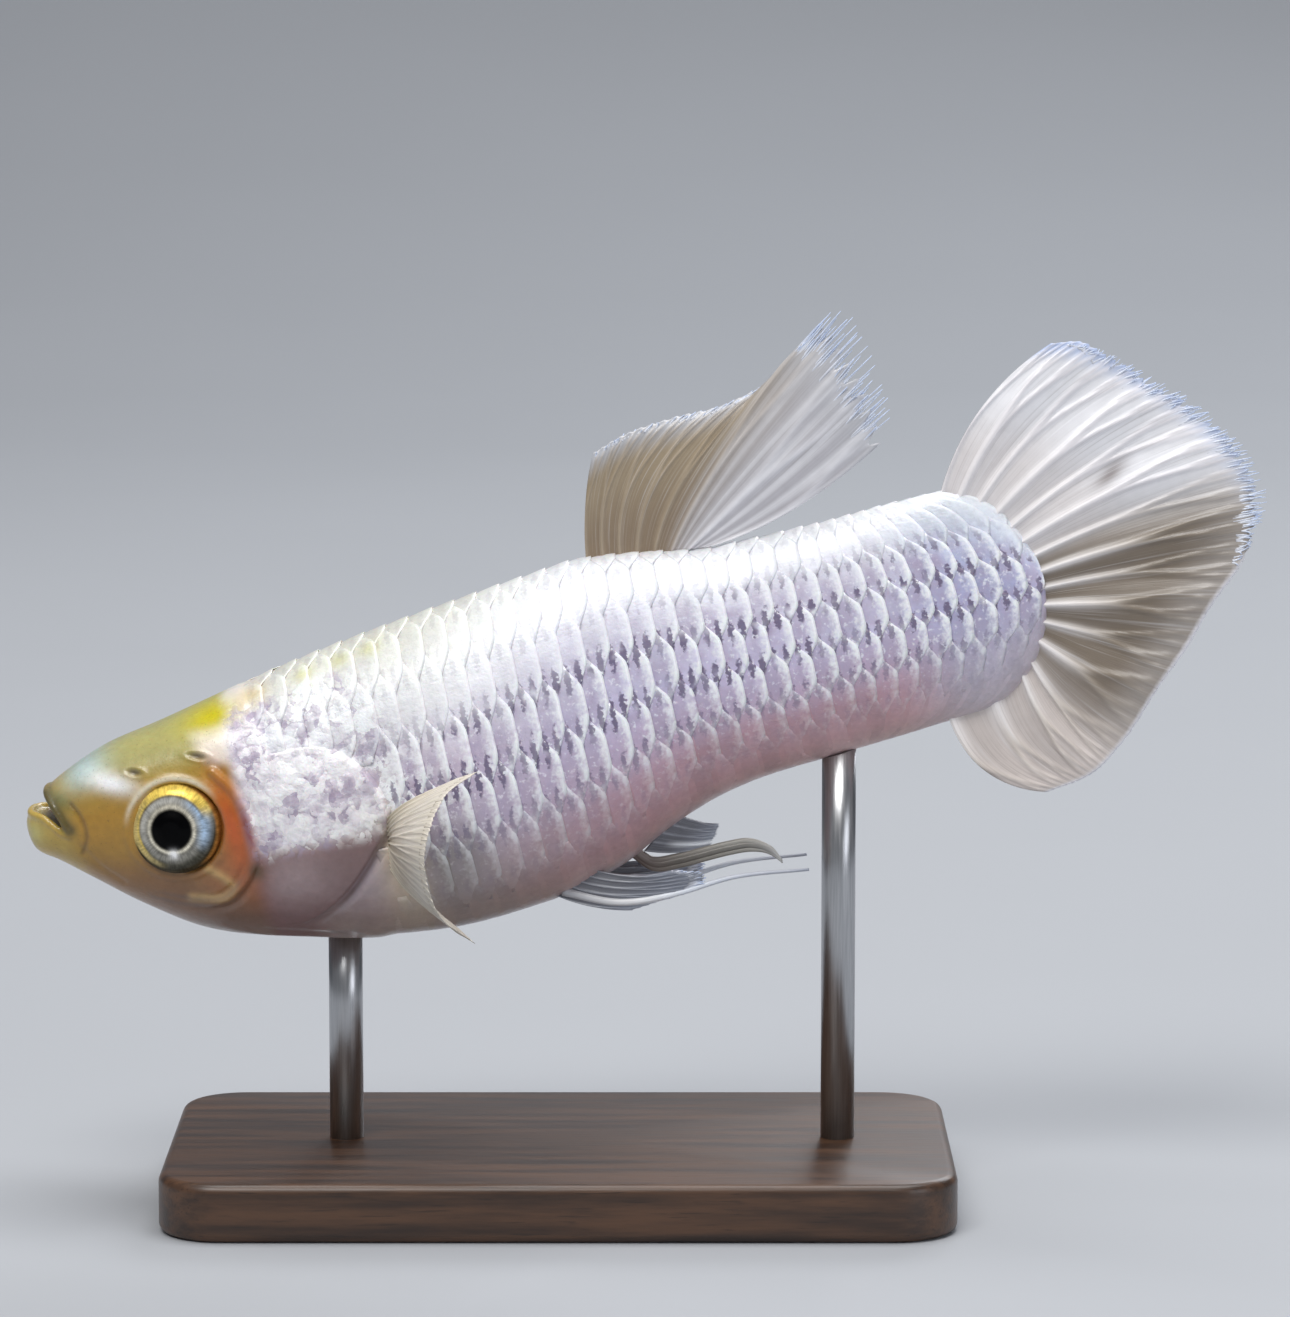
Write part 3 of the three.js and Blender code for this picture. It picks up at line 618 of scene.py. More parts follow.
def ball_out(radius):
    """How far the eyeball stands out at a distance from its axis. Its rim is steep and its front flat."""
    return EYE_DEPTH * np.maximum(0, 1 - (radius / EYE_RADIUS) ** 2.8) ** (1 / 2.8)


def eye_polar(x, z):
    return np.hypot(x - EYE_X, z - EYE_Z), np.arctan2(z - EYE_Z, x - EYE_X)


def scaled_share(x, z):
    """1 where scales cover the body, 0 on the bare head and gill cover."""
    start = np.interp(height_share(x, z), [0, 0.3, 0.55, 0.75, 1], [11.2, 12.2, 11.6, 9, 8.4])
    bare = outline_depth(x, z, GILL_COVER)
    return smoothstep(start - 0.3, start + 0.5, x) * smoothstep(0, -0.25, bare)


def silvered(x, z):
    """1 where the head's sides and the flank behind them look like crumpled silver leaf."""
    below_yellow = smoothstep(2.9, 2.3, z - 0.12 * (x - 7))
    silver = smoothstep(7.4, 8.1, x) * smoothstep(-2.7, -2.1, z) * below_yellow
    return silver * smoothstep(15, 12.4, x + 0.5 * z)


# Colours of the body
def body_paint(x, z):
    h = height_share(x, z)
    # Ramps from the belly's edge to the back's: the darker lower flank and belly are partly the fish's own
    # colour and partly painted shade.
    front = ramp(h, [
        (0, 172, 156, 148), (0.1, 166, 148, 144), (0.22, 178, 160, 166), (0.36, 194, 178, 200),
        (0.54, 214, 194, 212), (0.66, 246, 240, 244), (0.8, 246, 243, 242), (1, 222, 219, 204),
    ])
    rear = ramp(h, [
        (0, 188, 158, 152), (0.1, 188, 148, 152), (0.23, 184, 142, 152), (0.37, 200, 176, 200),
        (0.5, 212, 202, 230), (0.66, 220, 212, 232), (0.8, 238, 233, 242), (0.9, 248, 246, 251),
        (1, 234, 232, 232),
    ])
    stalk = ramp(h, [
        (0, 196, 184, 190), (0.3, 190, 184, 206), (0.5, 174, 174, 212), (0.7, 192, 196, 228),
        (0.85, 222, 226, 240), (1, 244, 245, 248),
    ])
    paint = mix(front, rear, smoothstep(14, 21, x))
    paint = mix(paint, stalk, smoothstep(30, 33, x) * 0.9)
    return dabbed(paint, x, z, [
        # Painted shadow: a grey patch on the flank behind and under the pectoral fin.
        ((136, 132, 128), 0.85, 1, 14.1, -3.6, 1.5, 1.7),
        ((216, 198, 162), 0.8, 1, 12.5, -3.2, 0.8, 2.4),
    ])


def snout_paint(x, z):
    paint = ramp(z, [
        (-5.5, 146, 130, 124), (-4.4, 132, 108, 96), (-3.4, 134, 98, 70), (-2.4, 148, 106, 56),
        (-1.2, 164, 124, 46), (0.2, 176, 132, 38), (1.1, 168, 138, 52), (1.7, 166, 158, 96),
        (2.6, 174, 170, 110),
    ])
    paint = layered(paint, [
        ((186, 156, 70), smoothstep(2.2, 1.2, x)),
        ((112, 112, 58), 0.8 * bell(slanted(x, z, 1.55, 0.95, 0.5, 0.3, -40))),
        ((66, 62, 34), 0.85 * bell(line_distance(x, z, UPPER_LIP_LINE) - 0.06, 0.2)),
    ])
    return dabbed(paint, x, z, [
        ((196, 190, 120), 0.8, 1, 0.3, 0, 0.4, 0.5),
        # Painted highlights: a pale bluish sheen along the top of the snout and a white glint below it,
        # where light from above would reflect.
        ((176, 200, 200), 0.9, 0.7, 2.55, 1.8, 0.75, 0.5, 20),
        ((252, 254, 255), 1, 0.6, 3.45, 1.2, 0.66, 0.26, -24),
        ((130, 92, 62), 0.55, 1, 4.6, -2.7, 1.7, 0.5, -25),
    ])


def cheek_paint(paint, x, z):
    """The orange crescent behind the eye, the folds under it and the white wedge above."""
    wedge = smoothstep(6.2, 7.0, x + 0.5 * (z - 1.9)) * smoothstep(0.85, 1.3, z)
    low = smoothstep(7.2, 7.9, x) * smoothstep(-1.9, -2.6, z)
    paint = layered(paint, [
        ((240, 234, 220), wedge * smoothstep(2.55, 2.2, z - 0.12 * (x - 7))),
        ((164, 106, 62), 0.8 * smoothstep(5.4, 6.4, x) * bell(z + 2.7, 0.8)),
        ((204, 172, 112), 0.7 * bell(line_distance(x, z, EYE_BAG), 0.17)),
        ((244, 240, 246), smoothstep(7.35, 7.9, x) * smoothstep(-2.9, -1.9, z)),
        ((134, 108, 108), low),
        ((172, 150, 152), 0.8 * bell(slanted(x, z, 8.9, -3.4, 1.1, 1.0)) * low),
    ])
    paint = dabbed(paint, x, z, [
        ((190, 88, 28), 1, 0.6, 7.2, -1.05, 0.42, 1.6, 4),
        ((138, 32, 22), 0.95, 1, 7.7, -1.3, 0.19, 1.05, 3),
        ((88, 68, 42), 0.9, 1, 7.62, -2.75, 0.34, 0.42),
    ])
    edge = 0.5 * bell(line_distance(x, z, CHEEK_EDGE) - 0.14, 0.1)
    return mix(paint, rgb(110, 92, 84), edge * smoothstep(-2.6, -3.2, z))


def head_paint(x, z):
    radius, turn = eye_polar(x, z)
    paint = layered(cheek_paint(snout_paint(x, z), x, z), [
        ((232, 224, 200), 0.8 * bell(radius - 1.74, 0.09) * smoothstep(0.25, 0.8, np.sin(turn - 0.1))),
        ((120, 84, 44), 0.6 * bell(radius - 1.62, 0.07) * smoothstep(0.3, -0.3, np.sin(turn - 0.4))),
    ])
    paint = dabbed(paint, x, z, [
        ((200, 188, 8), 1, 0.6, 7.3, 2.6, 0.85, 0.36, 8),
        ((206, 164, 30), 1, 0.7, 9.0, 3.0, 0.55, 0.3, 10),
        *(((92, 80, 66), 0.85, 1, pit_x, pit_z, pit, 0.1, -20) for pit_x, pit_z, pit in NOSTRILS),
    ])
    return mix(paint, rgb(96, 72, 36), 0.5 * bell(line_distance(x, z, UPPER_JAW_FOLD), 0.09))


def whole_paint(x, z):
    head = head_paint(x, z)
    paint = mix(head, body_paint(x, z), smoothstep(8.4, 10.4, x + 0.5 * smoothstep(1, 3, z)))
    inside = outline_depth(x, z, GILL_COVER)
    paint = mix(paint, head, smoothstep(-0.05, 0.15, inside))
    # Painted shade: a dark line just outside the lower rear edge of the gill cover, along the groove under
    # its edge.
    gill_slit_shade = 0.7 * bell(inside + 0.06, 0.1) * smoothstep(-1.5, -2.6, z) * smoothstep(9, 10.5, x)
    crest = [(spot_x, float(dorsal(spot_x)) - 0.45) for spot_x in (10.6, 11.9, 13.0)]
    return dabbed(mix(paint, rgb(124, 104, 104), gill_slit_shade), x, z, [
        ((128, 112, 84), 0.7, 1, 12.15, -2, 0.5, 0.2, -10),
        *(((214, 210, 120), 0.6, 1, *spot, 0.38, 0.2, 12) for spot in crest),
    ])


# Skin: one surface over head, jaws, gill covers, trunk and tail stalk
COARSE_FROM, COARSE_SHARE = 12.6, 0.42  # thinned behind this x, to this share of all its faces
SOCKET_RADIUS, SOCKET_GAP = 1.48, 0.16  # the socket keeps this far under the eyeball, out to its radius


def body_loft():
    """The body in rings, which lie closer together on the nose and the end of the stalk."""
    nose = 0.02 + 5.4 * (np.arange(40) / 40) ** 1.6
    flank = np.linspace(5.45, 32.5, 120)
    end = STALK_X + STALK_LONG * np.sin(np.linspace(0, 0.97, 22) * math.pi / 2)
    x = np.concatenate([nose, flank, end])[:, None]
    turn = np.linspace(0, 2 * math.pi, 120, endpoint=False)[None, :]
    return closed_rings(skin_point(x, turn))


def mouth_cutter():
    outline = [MOUTH_CORNER, *LOWER_MOUTH, (-0.4, 0.7), (-0.4, 2.2), (0.98, 2.2), *UPPER_MOUTH[::-1]]
    count = len(outline)
    points = [(x, y, z) for y in (-5, 5) for x, z in outline]
    faces = [list(range(count - 1, -1, -1)), list(range(count, 2 * count))]
    faces += [[j, (j + 1) % count, count + (j + 1) % count, count + j] for j in range(count)]
    return new_object("mouth_cutter", new_mesh("mouth_cutter", points, faces, placed=False))


def lip_rings(edge):
    side = np.array([MOUTH_CORNER, *edge])
    out = side_at(side[:, 0], side[:, 1]) - LIP_RADIUS * 0.5
    right, left = (np.stack([side[:, 0], y, side[:, 1]], axis=1) for y in (out, -out))
    path = np.concatenate([right, left[::-1]])
    return tube_rings(path, even(LIP_RADIUS), 48, 12, across=(1.0, 0.0, 0.0))


def remeshed_body():
    """The body with its mouth cut out and its lips joined on, in one mesh, coarser under the scales."""
    body = new_object("body", new_mesh("body", *body_loft(), placed=False))
    cutter = mouth_cutter()
    cut = body.modifiers.new("mouth", "BOOLEAN")
    cut.object, cut.operation, cut.solver = cutter, "DIFFERENCE", "EXACT"
    mesh = evaluated(body)
    bpy.data.objects.remove(cutter)
    cut_body = (vertex_values(mesh.vertices, "co"), [list(face.vertices) for face in mesh.polygons])
    lips = [closed_rings(lip_rings(edge)) for edge in (UPPER_MOUTH, LOWER_MOUTH)]
    body = new_object("body", new_mesh("body", *joined([cut_body, *lips]), placed=False))
    remesh = body.modifiers.new("remesh", "REMESH")
    remesh.mode, remesh.voxel_size = "VOXEL", SKIN_VOXEL
    smooth = body.modifiers.new("smooth", "SMOOTH")
    smooth.factor, smooth.iterations = 0.5, 4
    body = new_object("body", evaluated(body))
    coarse = body.vertex_groups.new(name="coarse")
    behind = vertex_values(body.data.vertices, "co")[:, 0] > COARSE_FROM
    coarse.add(np.flatnonzero(behind).tolist(), 1.0, "REPLACE")
    thin = body.modifiers.new("thin", "DECIMATE")
    thin.ratio, thin.vertex_group = COARSE_SHARE, "coarse"
    return evaluated(body)


def skin_lift(x, y, z):
    """How far folds, pits and edges raise the skin, less the depth of the coat of scales."""
    side = np.minimum(1, np.abs(y) / 0.5)  # folds fade out at the middle of the back and belly
    inside = outline_depth(x, z, GILL_COVER)
    covered = smoothstep(1.1, -0.6, z) * side
    lift = -COAT_DEPTH * scaled_share(x, z)
    lift += 0.12 * smoothstep(-0.02, 0.16, inside) * smoothstep(7.6, 9.4, x) * covered
    lift -= 0.09 * bell(inside + 0.16, 0.14) * smoothstep(8.4, 9.6, x) * covered
    cheek = line_distance(x, z, CHEEK_EDGE)
    lift += (0.06 * bell(cheek, 0.18) - 0.06 * bell(cheek - 0.24, 0.12)) * side * smoothstep(4.8, 6.2, x)
    lift -= 0.05 * bell(line_distance(x, z, UPPER_JAW_FOLD), 0.07) * side
    lift -= 0.03 * bell(line_distance(x, z, LOWER_JAW_FOLD), 0.12) * side
    throat = smoothstep(6, 7.5, x) * smoothstep(11, 9.5, x) * smoothstep(-4.6, -5.2, z)
    lift += 0.03 * np.cos(y * 7) * throat
    for pit_x, pit_z, pit in NOSTRILS:
        away = slanted(x, z, pit_x, pit_z, pit, 0.1, -20)
        lift += (0.02 * bell(away - 1.6, 0.6) - 0.09 * bell(away, 0.8)) * side
    lift += 0.05 * bell(eye_polar(x, z)[0] - 1.74, 0.14) * side
    return lift + 0.05 * bell(line_distance(x, z, EYE_BAG), 0.16) * side


def sculpted(mesh):
    """The skin's vertices, raised, sunk, and pressed into a socket behind each eyeball."""
    places = vertex_values(mesh.vertices, "co")
    x, y, z = places.T
    radius, _ = eye_polar(x, z)
    ball = EYE_OUT + (ball_out(np.minimum(radius, SOCKET_RADIUS)) - SOCKET_GAP)
    places = places + vertex_values(mesh.vertex_normals, "vector") * skin_lift(x, y, z)[:, None]
    y = places[:, 1]
    socket = smoothstep(1.62, 1.52, radius) * (np.abs(y) > 0.5)
    places[:, 1] = y * (1 - socket) + np.sign(y) * np.minimum(np.abs(y), ball) * socket
    return places


def make_skin():
    mesh = remeshed_body()
    mesh.vertices.foreach_set("co", sculpted(mesh).ravel())
    x, y, z = vertex_values(mesh.vertices, "co").T
    # Painted shade: the walls inside the cut mouth, which lie further in than the body's outside, are
    # painted dark brown.
    mouth_shade = smoothstep(0.15, 0.4, side_at(x, z) - np.abs(y))
    mouth_shade = mouth_shade * bell(slanted(x, z, 1.3, 0.45, 0.42, 0.55, -40)) ** 0.5
    add_paint(mesh, mix(whole_paint(x, z), rgb(58, 40, 22), 0.9 * mouth_shade))
    freckled = 0.35 * smoothstep(9, 7, x) * smoothstep(-4.5, -3, z)
    add_vectors(mesh, "marks", np.stack([freckled, silvered(x, z), 0 * x], axis=1))
    mesh.transform(Matrix(FISH_PLACE.tolist()))
    finish_piece(
        "skin", mesh, skin_material(),
        ("head", "lower_jaw", "gill_cover_left", "gill_cover_right", "trunk", "tail_stalk"),
    )


# Scales: overlapping plates in staggered rows, each with its own place on a chart of the body. Past
# CHART_BEND the chart's rings lean towards the round end of the stalk, and past CHART_SIDE their points
# keep the heights that they have there.
CHART_START, CHART_END, CHART_BEND, CHART_SIDE = 7.5, 36.0, 28.0, 31.0
CHART_REACH = 0.985  # how much of the stalk's rounded end the chart covers
CHART_LENGTHS = np.linspace(CHART_START, CHART_END, 260)
CHART_SHARES = np.linspace(0, 1, 241)
CHART_COLUMNS = int((CHART_END - CHART_START) / SCALE_PITCH) + 1
PLATE_ALONG, PLATE_ACROSS = np.meshgrid(np.linspace(0, 1, 11), np.linspace(-1, 1, 15), indexing="ij")
PLATE_HALF = 0.78  # half a plate's height, in rows
PLATE_THICK = 0.03


def chart_ring(x):
    """The body's outline at x, in even steps from the back down the right side and up the left."""
    turn = math.pi / 2 - np.linspace(0, 2 * math.pi, 721)
    points = skin_point(np.full(turn.shape, x), turn)
    along = np.concatenate([[0], np.cumsum(np.linalg.norm(np.diff(points, axis=0), axis=1))])
    return np.stack([np.interp(CHART_SHARES, along / along[-1], points[:, k]) for k in range(3)], axis=1)


def body_chart():
    """Points and outward directions on a grid of body length by share of the way round from the back."""
    _, reference_y, reference_z = chart_ring(CHART_SIDE).T
    level = np.clip(np.abs(reference_z - STALK_Z) / STALK_HIGH, 0, 1)
    last_x = STALK_X + CHART_REACH * STALK_LONG * np.sqrt(1 - level**2)
    chart = []
    for length in CHART_LENGTHS:
        beyond = max(0, (length - CHART_BEND) / (CHART_END - CHART_BEND))
        x = CHART_BEND + (last_x - CHART_BEND) * beyond if beyond else np.full(last_x.shape, length)
        points = chart_ring(length)
        if 0 < beyond < 0.9:
            points = np.array([chart_ring(value)[k] for k, value in enumerate(x)])
        beside = np.stack([x, np.sign(reference_y) * side_at(x, reference_z), reference_z], axis=1)
        chart.append(np.where((x > CHART_SIDE)[:, None], beside, points))
    chart = np.array(chart)
    normals = unit(np.cross(np.gradient(chart, axis=1), np.gradient(chart, axis=0)))
    facing = np.sign((normals * chart).sum(axis=2, keepdims=True))
    return chart, normals * np.where(facing == 0, 1, facing)


def sample_chart(values, length, share):
    """The chart's values at a length and a share, between those of its grid."""
    row = (length - CHART_START) / (CHART_LENGTHS[1] - CHART_START)
    row = np.clip(row, 0, len(CHART_LENGTHS) - 1.001)
    column = (share % 1) / CHART_SHARES[1]
    i, j = row.astype(int), np.minimum(column.astype(int), len(CHART_SHARES) - 2)
    a, b = (row - i)[..., None], (column - j)[..., None]
    near = values[i, j] * (1 - b) + values[i, j + 1] * b
    far = values[i + 1, j] * (1 - b) + values[i + 1, j + 1] * b
    return near * (1 - a) + far * a


def plate_middle(row, column):
    """A plate's middle as a length and a share on the chart. Every other row lies half a plate back."""
    return CHART_START + (column + 0.5 * (row % 2)) * SCALE_PITCH, row / SCALE_ROWS


def off_coat(chart, middle, share):
    """True where a plate would lie on the bare head, past the chart or under the stalk's end."""
    x, _, z = sample_chart(chart, np.array([middle]), np.array([share]))[0]
    hanging = x > CHART_SIDE and z < ventral(x) + 0.3
    return hanging or middle > CHART_END + 0.1 or scaled_share(x, z) < 0.55


def plate_height(along, across, covered, level, chance):
    """How far a plate's outer face stands over the chart: least at its front, most before its rim."""
    relief = np.interp(level, [0.12, 0.3, 0.42], [0.08, 0.45, 1.0])
    rise = relief * (0.08 * along**1.5 - 0.03 * across**2 * along + 0.012 * chance * along)
    rise = rise - 0.015 * smoothstep(0.85, 1, along)
    return -COAT_DEPTH * covered - 0.03 + (rise + 0.03 * smoothstep(0.25, 0.45, along)) * covered


def plate_contrast(x, covered, level):
    """How strongly a plate's rim and specks show, less on the belly and the back."""
    contrast = covered * np.interp(level, [0.1, 0.26, 0.42], [0, 0.35, 1])
    plain_from = np.interp(x, [14, 25], [0.74, 0.88])
    return contrast * (1 - 0.8 * smoothstep(plain_from - 0.16, plain_from, level))


def scale_plate(chart, normals, row, column, chance):
    """A plate's points, its values for the material and its places on the bake map."""
    along, across = PLATE_ALONG, PLATE_ACROSS
    middle, share = plate_middle(row, column)
    rear = 0.5 * SCALE_PITCH * (1 - 1.15 * smoothstep(0.3, 1.05, np.abs(across)))
    front = rear - 1.6 * SCALE_PITCH * (1 - 0.25 * across**2)
    length = middle + front + (rear - front) * along + 0.09 * (chance[0] - 0.5)
    around = share + PLATE_HALF * across / SCALE_ROWS + 0.007 * (chance[1] - 0.5)
    place, out = (sample_chart(values, length, around) for values in (chart, normals))
    x, _, z = np.moveaxis(place, -1, 0)
    covered, level = scaled_share(x, z), height_share(x, z)
    height = plate_height(along, across, covered, level, chance[2])
    inner = height - (PLATE_THICK - 0.01 * along)
    points = [(place + out * face[..., None]).reshape(-1, 3) for face in (height, inner)]
    values = [along, silvered(x, z), np.full(along.shape, chance[2])]
    cell = [(length - middle) / SCALE_PITCH, PLATE_HALF * across, plate_contrast(x, covered, level)]
    map_u = (column + 0.05 + 0.85 * along) / (CHART_COLUMNS + 1)
    map_v = (row + 0.05 + 0.45 * (across + 1)) / (SCALE_ROWS + 1)
    map_back = (SCALE_ROWS + 0.05 + 0.9 * map_v) / (SCALE_ROWS + 1)
    return (
        np.concatenate(points),
        *(np.tile(np.stack(three, axis=-1).reshape(-1, 3), (2, 1)) for three in (values, cell)),
        np.concatenate([np.stack([map_u, v], axis=-1).reshape(-1, 2) for v in (map_v, map_back)]),
    )


def scale_coats():
    """The plates of each side."""
    chart, normals = body_chart()
    random = np.random.default_rng(7)
    coats = {"left": [], "right": []}
    for row in range(SCALE_ROWS):
        side = "left" if row / SCALE_ROWS >= 0.5 else "right"
        for column in range(CHART_COLUMNS):
            chance = random.random(3)
            if not off_coat(chart, *plate_middle(row, column)):
                coats[side].append(scale_plate(chart, normals, row, column, chance))
    return coats


def make_scales():
    material = scale_material()
    faces_of_one = np.array(sheet_faces(*PLATE_ALONG.shape))
    for side, plates in scale_coats().items():
        points, plate, cell, bake_map = (np.concatenate(part) for part in zip(*plates))
        faces = np.concatenate([faces_of_one + 2 * PLATE_ALONG.size * k for k in range(len(plates))])
        mesh = new_mesh(f"scales_{side}", points, faces.tolist())
        x, _, z = points.T
        add_paint(mesh, whole_paint(x, z))
        add_vectors(mesh, "plate", plate)
        add_vectors(mesh, "cell", cell)
        corners = np.empty(len(mesh.loops), np.int32)
        mesh.loops.foreach_get("vertex_index", corners)
        layer = mesh.uv_layers.new(name="OFBake")
        layer.data.foreach_set("uv", bake_map[corners].astype(np.float32).ravel())
        finish_piece(f"scales_{side}", mesh, material)


# Fins
def ray_ridge(ray, reach):
    """1 on a fin ray, 0 on the membrane. A ray splits in two, and again towards the edge."""
    ridge = np.zeros(np.broadcast(ray, reach).shape)
    first = 0.25 * smoothstep(0.32, 0.8, reach)
    second = 0.125 * smoothstep(0.62, 1.0, reach)
    width = 0.15 - 0.1 * smoothstep(0.05, 0.8, reach)
    for axis in (np.floor(ray), np.floor(ray) + 1):
        for a in (-1, 1):
            for b in (-1, 1):
                ridge = np.maximum(ridge, bell(ray - axis - a * first - b * second, width))
    return ridge


def fin_sheet(root, bend, edge):
    """A fin's middle surface: its point at a share along the edge and a reach from root to edge."""

    def sheet(share, reach):
        share, reach = np.broadcast_arrays(share, reach)
        curves = (spline(points, share.ravel()) for points in (root, bend, edge))
        start, middle, end = (curve.reshape(*share.shape, 3) for curve in curves)
        reach = reach[..., None]
        return (1 - reach) ** 2 * start + 2 * (1 - reach) * reach * middle + reach**2 * end

    return sheet


FRINGE_REACH = 0.97  # the longest hair ends short of the solid fin's edge
HAIR_STEPS, HAIR_SIDES = 6, 6
ROD_STEPS = 60


def make_fringe(sheet, count, span, fray, colour, seed, mirror=1):
    """Loose hair-like tips of the branched rays beyond the membrane's edge."""
    random = np.random.default_rng(seed)
    out = np.linspace(0, 1, 5)
    hairs = []
    for share in np.linspace(*span, count):
        chance = random.random(5)
        depth = float(fray(np.array(share)))
        reach = FRINGE_REACH - depth * 1.6 + depth * (1.6 - 0.85 * chance[0] ** 1.5) * out
        place = share + (chance[1] - 0.5) * (span[1] - span[0]) / count
        place = place + 0.016 * (chance[2] - 0.5) * out**2
        path = sheet(np.clip(place, 0, 1), reach)
        path[:, 1] = mirror * (path[:, 1] + 0.25 * (chance[3] - 0.5) * out**2)
        size = 0.05 + 0.02 * chance[4]
        rings = tube_rings(path, lambda share: size * (1 - 0.8 * share), HAIR_STEPS, HAIR_SIDES)
        hairs.append(closed_rings(rings))
    points, faces = joined(hairs)
    share = tube_shares(HAIR_STEPS, HAIR_SIDES)
    places = np.stack([0 * share, share, 0 * share], axis=1)
    return points, faces, np.tile(colour(share), (count, 1)), np.tile(places, (count, 1))


def make_fin(sheet, rays, colours, fray, thick=(0.2, 0.1), rise=0.1, steps=56, per_gap=16, mirror=1):
    """A fin as a sheet between two edge rays, as in the solids, with finer rays and an uneven edge."""
    columns = (rays - 1) * per_gap + 1
    share = np.linspace(0, 1, columns)[None, :]
    level = np.linspace(0, 1, steps + 1)[:, None]
    ray = share * (rays - 1)
    uneven = np.interp(ray, np.arange(0, rays, 0.5), np.random.default_rng(3).random(2 * rays))
    notched = 0.75 + 0.4 * uneven - 0.2 * np.cos(8 * math.pi * ray)  # four tips from ray to ray
    reach = level * (1 - fray(share) * notched)
    whole = sheet(share, level)
    normals = np.cross(np.gradient(whole, axis=0), np.gradient(whole, axis=1))
    normals[0] = normals[1]
    middle = sheet(share, reach)
    ridge = ray_ridge(ray, reach)
    half = 0.5 * (thick[0] + (thick[1] - thick[0]) * reach) + rise * ridge * (1 - 0.6 * reach)
    offset = unit(normals) * (half * (1 - 0.75 * smoothstep(0.9, 1, level)))[..., None]
    points = np.concatenate([(middle + offset).reshape(-1, 3), (middle - offset).reshape(-1, 3)])
    points[:, 1] *= mirror
    faces = outward(points, sheet_faces(steps + 1, columns))
    paint = colours(ray, reach, ridge, middle).reshape(-1, 3)
    fin = np.stack(np.broadcast_arrays(ray, reach, ridge), axis=-1).reshape(-1, 3)
    return points, faces, np.tile(paint, (2, 1)), np.tile(fin, (2, 1))


def make_rod(path, radius, colour, sides):
    points, faces = closed_rings(tube_rings(path, radius, ROD_STEPS, sides))
    share = tube_shares(ROD_STEPS, sides)
    return points, faces, colour(share), np.stack([share * 0 + 0.5, share, share * 0], axis=1)


def fin_piece(name, parts, nodes, material):
    """Joins sheets and rods given as points, faces, colours and fin places into one piece."""
    mesh = new_mesh(name, *joined([part[:2] for part in parts]))
    add_paint(mesh, np.concatenate([part[2] for part in parts]))
    add_vectors(mesh, "fin", np.concatenate([part[3] for part in parts]))
    finish_piece(name, mesh, material, nodes)


ROOT_DEPTH = 0.35  # how far a fin starts inside the body
THIN_FIN = {"thick": (0.16, 0.08), "rise": 0.07, "per_gap": 12}


def dorsal_colours(ray, reach, ridge, place):
    rear = smoothstep(4.3, 6.4, ray + 0.4 * reach)
    membrane = layered(rgb(140, 122, 100), [
        ((158, 142, 118), smoothstep(0.1, 0.6, reach)),
        ((184, 182, 188), rear),
        ((184, 186, 192), smoothstep(0.65, 0.95, reach)),
    ])
    rays = mix(rgb(176, 160, 138), rgb(230, 230, 236), rear)
    fine = bell(3 * ray - np.round(3 * ray), 0.24) * smoothstep(1, 0.6, reach)
    return layered(mix(membrane, rays, ridge * (0.75 - 0.2 * reach)), [
        ((248, 248, 252), 0.6 * fine * rear),
        ((240, 242, 248), 0.8 * smoothstep(0.84, 1, reach) * ridge),
    ])


def fringe_colours(share):
    return ramp(share, [(0, 206, 208, 216), (0.5, 226, 231, 242), (1, 190, 206, 236)])


def make_dorsal_fin(material):
    base = np.linspace(20.8, 24.9, 3)
    sheet = fin_sheet(
        root=[(x, 0, dorsal(x) - ROOT_DEPTH * (1 - k / 2)) for k, x in enumerate(base)],
        bend=[(21.1, 0, 6.8), (22.1, -0.1, 7.3), (23.7, -0.2, 7.4), (25.8, -0.2, 6.9), (28.4, 0, 4.4)],
        edge=[
            (21.95, 0, 8.4), (23.4, 0.15, 8.85), (25.1, 0.3, 8.95), (26.9, 0.35, 9), (28.9, 0.3, 9.6),
            (31.6, 0.1, 11.5), (32.3, -0.2, 9.4), (32.4, -0.4, 7),
        ],
    )

    def fray(share):
        return 0.045 + 0.085 * smoothstep(0.45, 0.75, share)

    fin = make_fin(sheet, 8, dorsal_colours, fray, per_gap=20)
    front = make_fringe(sheet, 46, (0.01, 0.5), fray, fringe_colours, 5)
    rear = make_fringe(sheet, 110, (0.5, 0.97), fray, fringe_colours, 6)
    fin_piece("dorsal_fin_rayed", [fin, front, rear], ("dorsal_fin",), material)


def tail_colours(ray, reach, ridge, place):
    lower = smoothstep(5.1, 7, ray)
    membrane = layered(rgb(222, 217, 217), [
        ((238, 238, 242), smoothstep(0.2, 0.6, reach)),
        ((122, 110, 96), lower * (1 - 0.2 * smoothstep(0.6, 0.95, reach))),
        ((212, 202, 197), smoothstep(10.8, 12.6, ray) * 0.9),
        ((178, 192, 222), smoothstep(0.8, 0.96, reach) * (1 - lower)),
    ])
    rays = layered(rgb(240, 236, 240), [
        ((218, 208, 197), lower),
        ((150, 138, 122), lower * smoothstep(0.3, 0.6, reach) * smoothstep(11.7, 10.8, ray)),
    ])
    finger = bell(ray - np.round(ray), 0.2) * smoothstep(0.55, 0.05, reach)
    blotch = slanted(place[..., 0], place[..., 2], 38.95, 3.62, 0.66, 0.24, 30)
    paint = mix(membrane, rays, ridge * (0.85 - 0.6 * smoothstep(0.3, 0.8, reach) * lower))
    return layered(paint, [
        ((166, 182, 216), 0.5 * smoothstep(0.86, 0.97, reach) * (1 - lower)),
        ((246, 242, 242), 0.85 * finger),
        ((226, 226, 234), smoothstep(0.955, 0.985, reach) * lower),
        ((118, 104, 102), 0.8 * bell(blotch)),
    ])


TAIL_RAYS = 16
# Where a tail ray starts, in degrees round the end of the stalk, by its share along the edge
TAIL_FAN = through([(0, 82), (0.31, 33), (0.455, 14), (0.64, -8), (0.8, -28), (0.93, -52), (1, -107)])


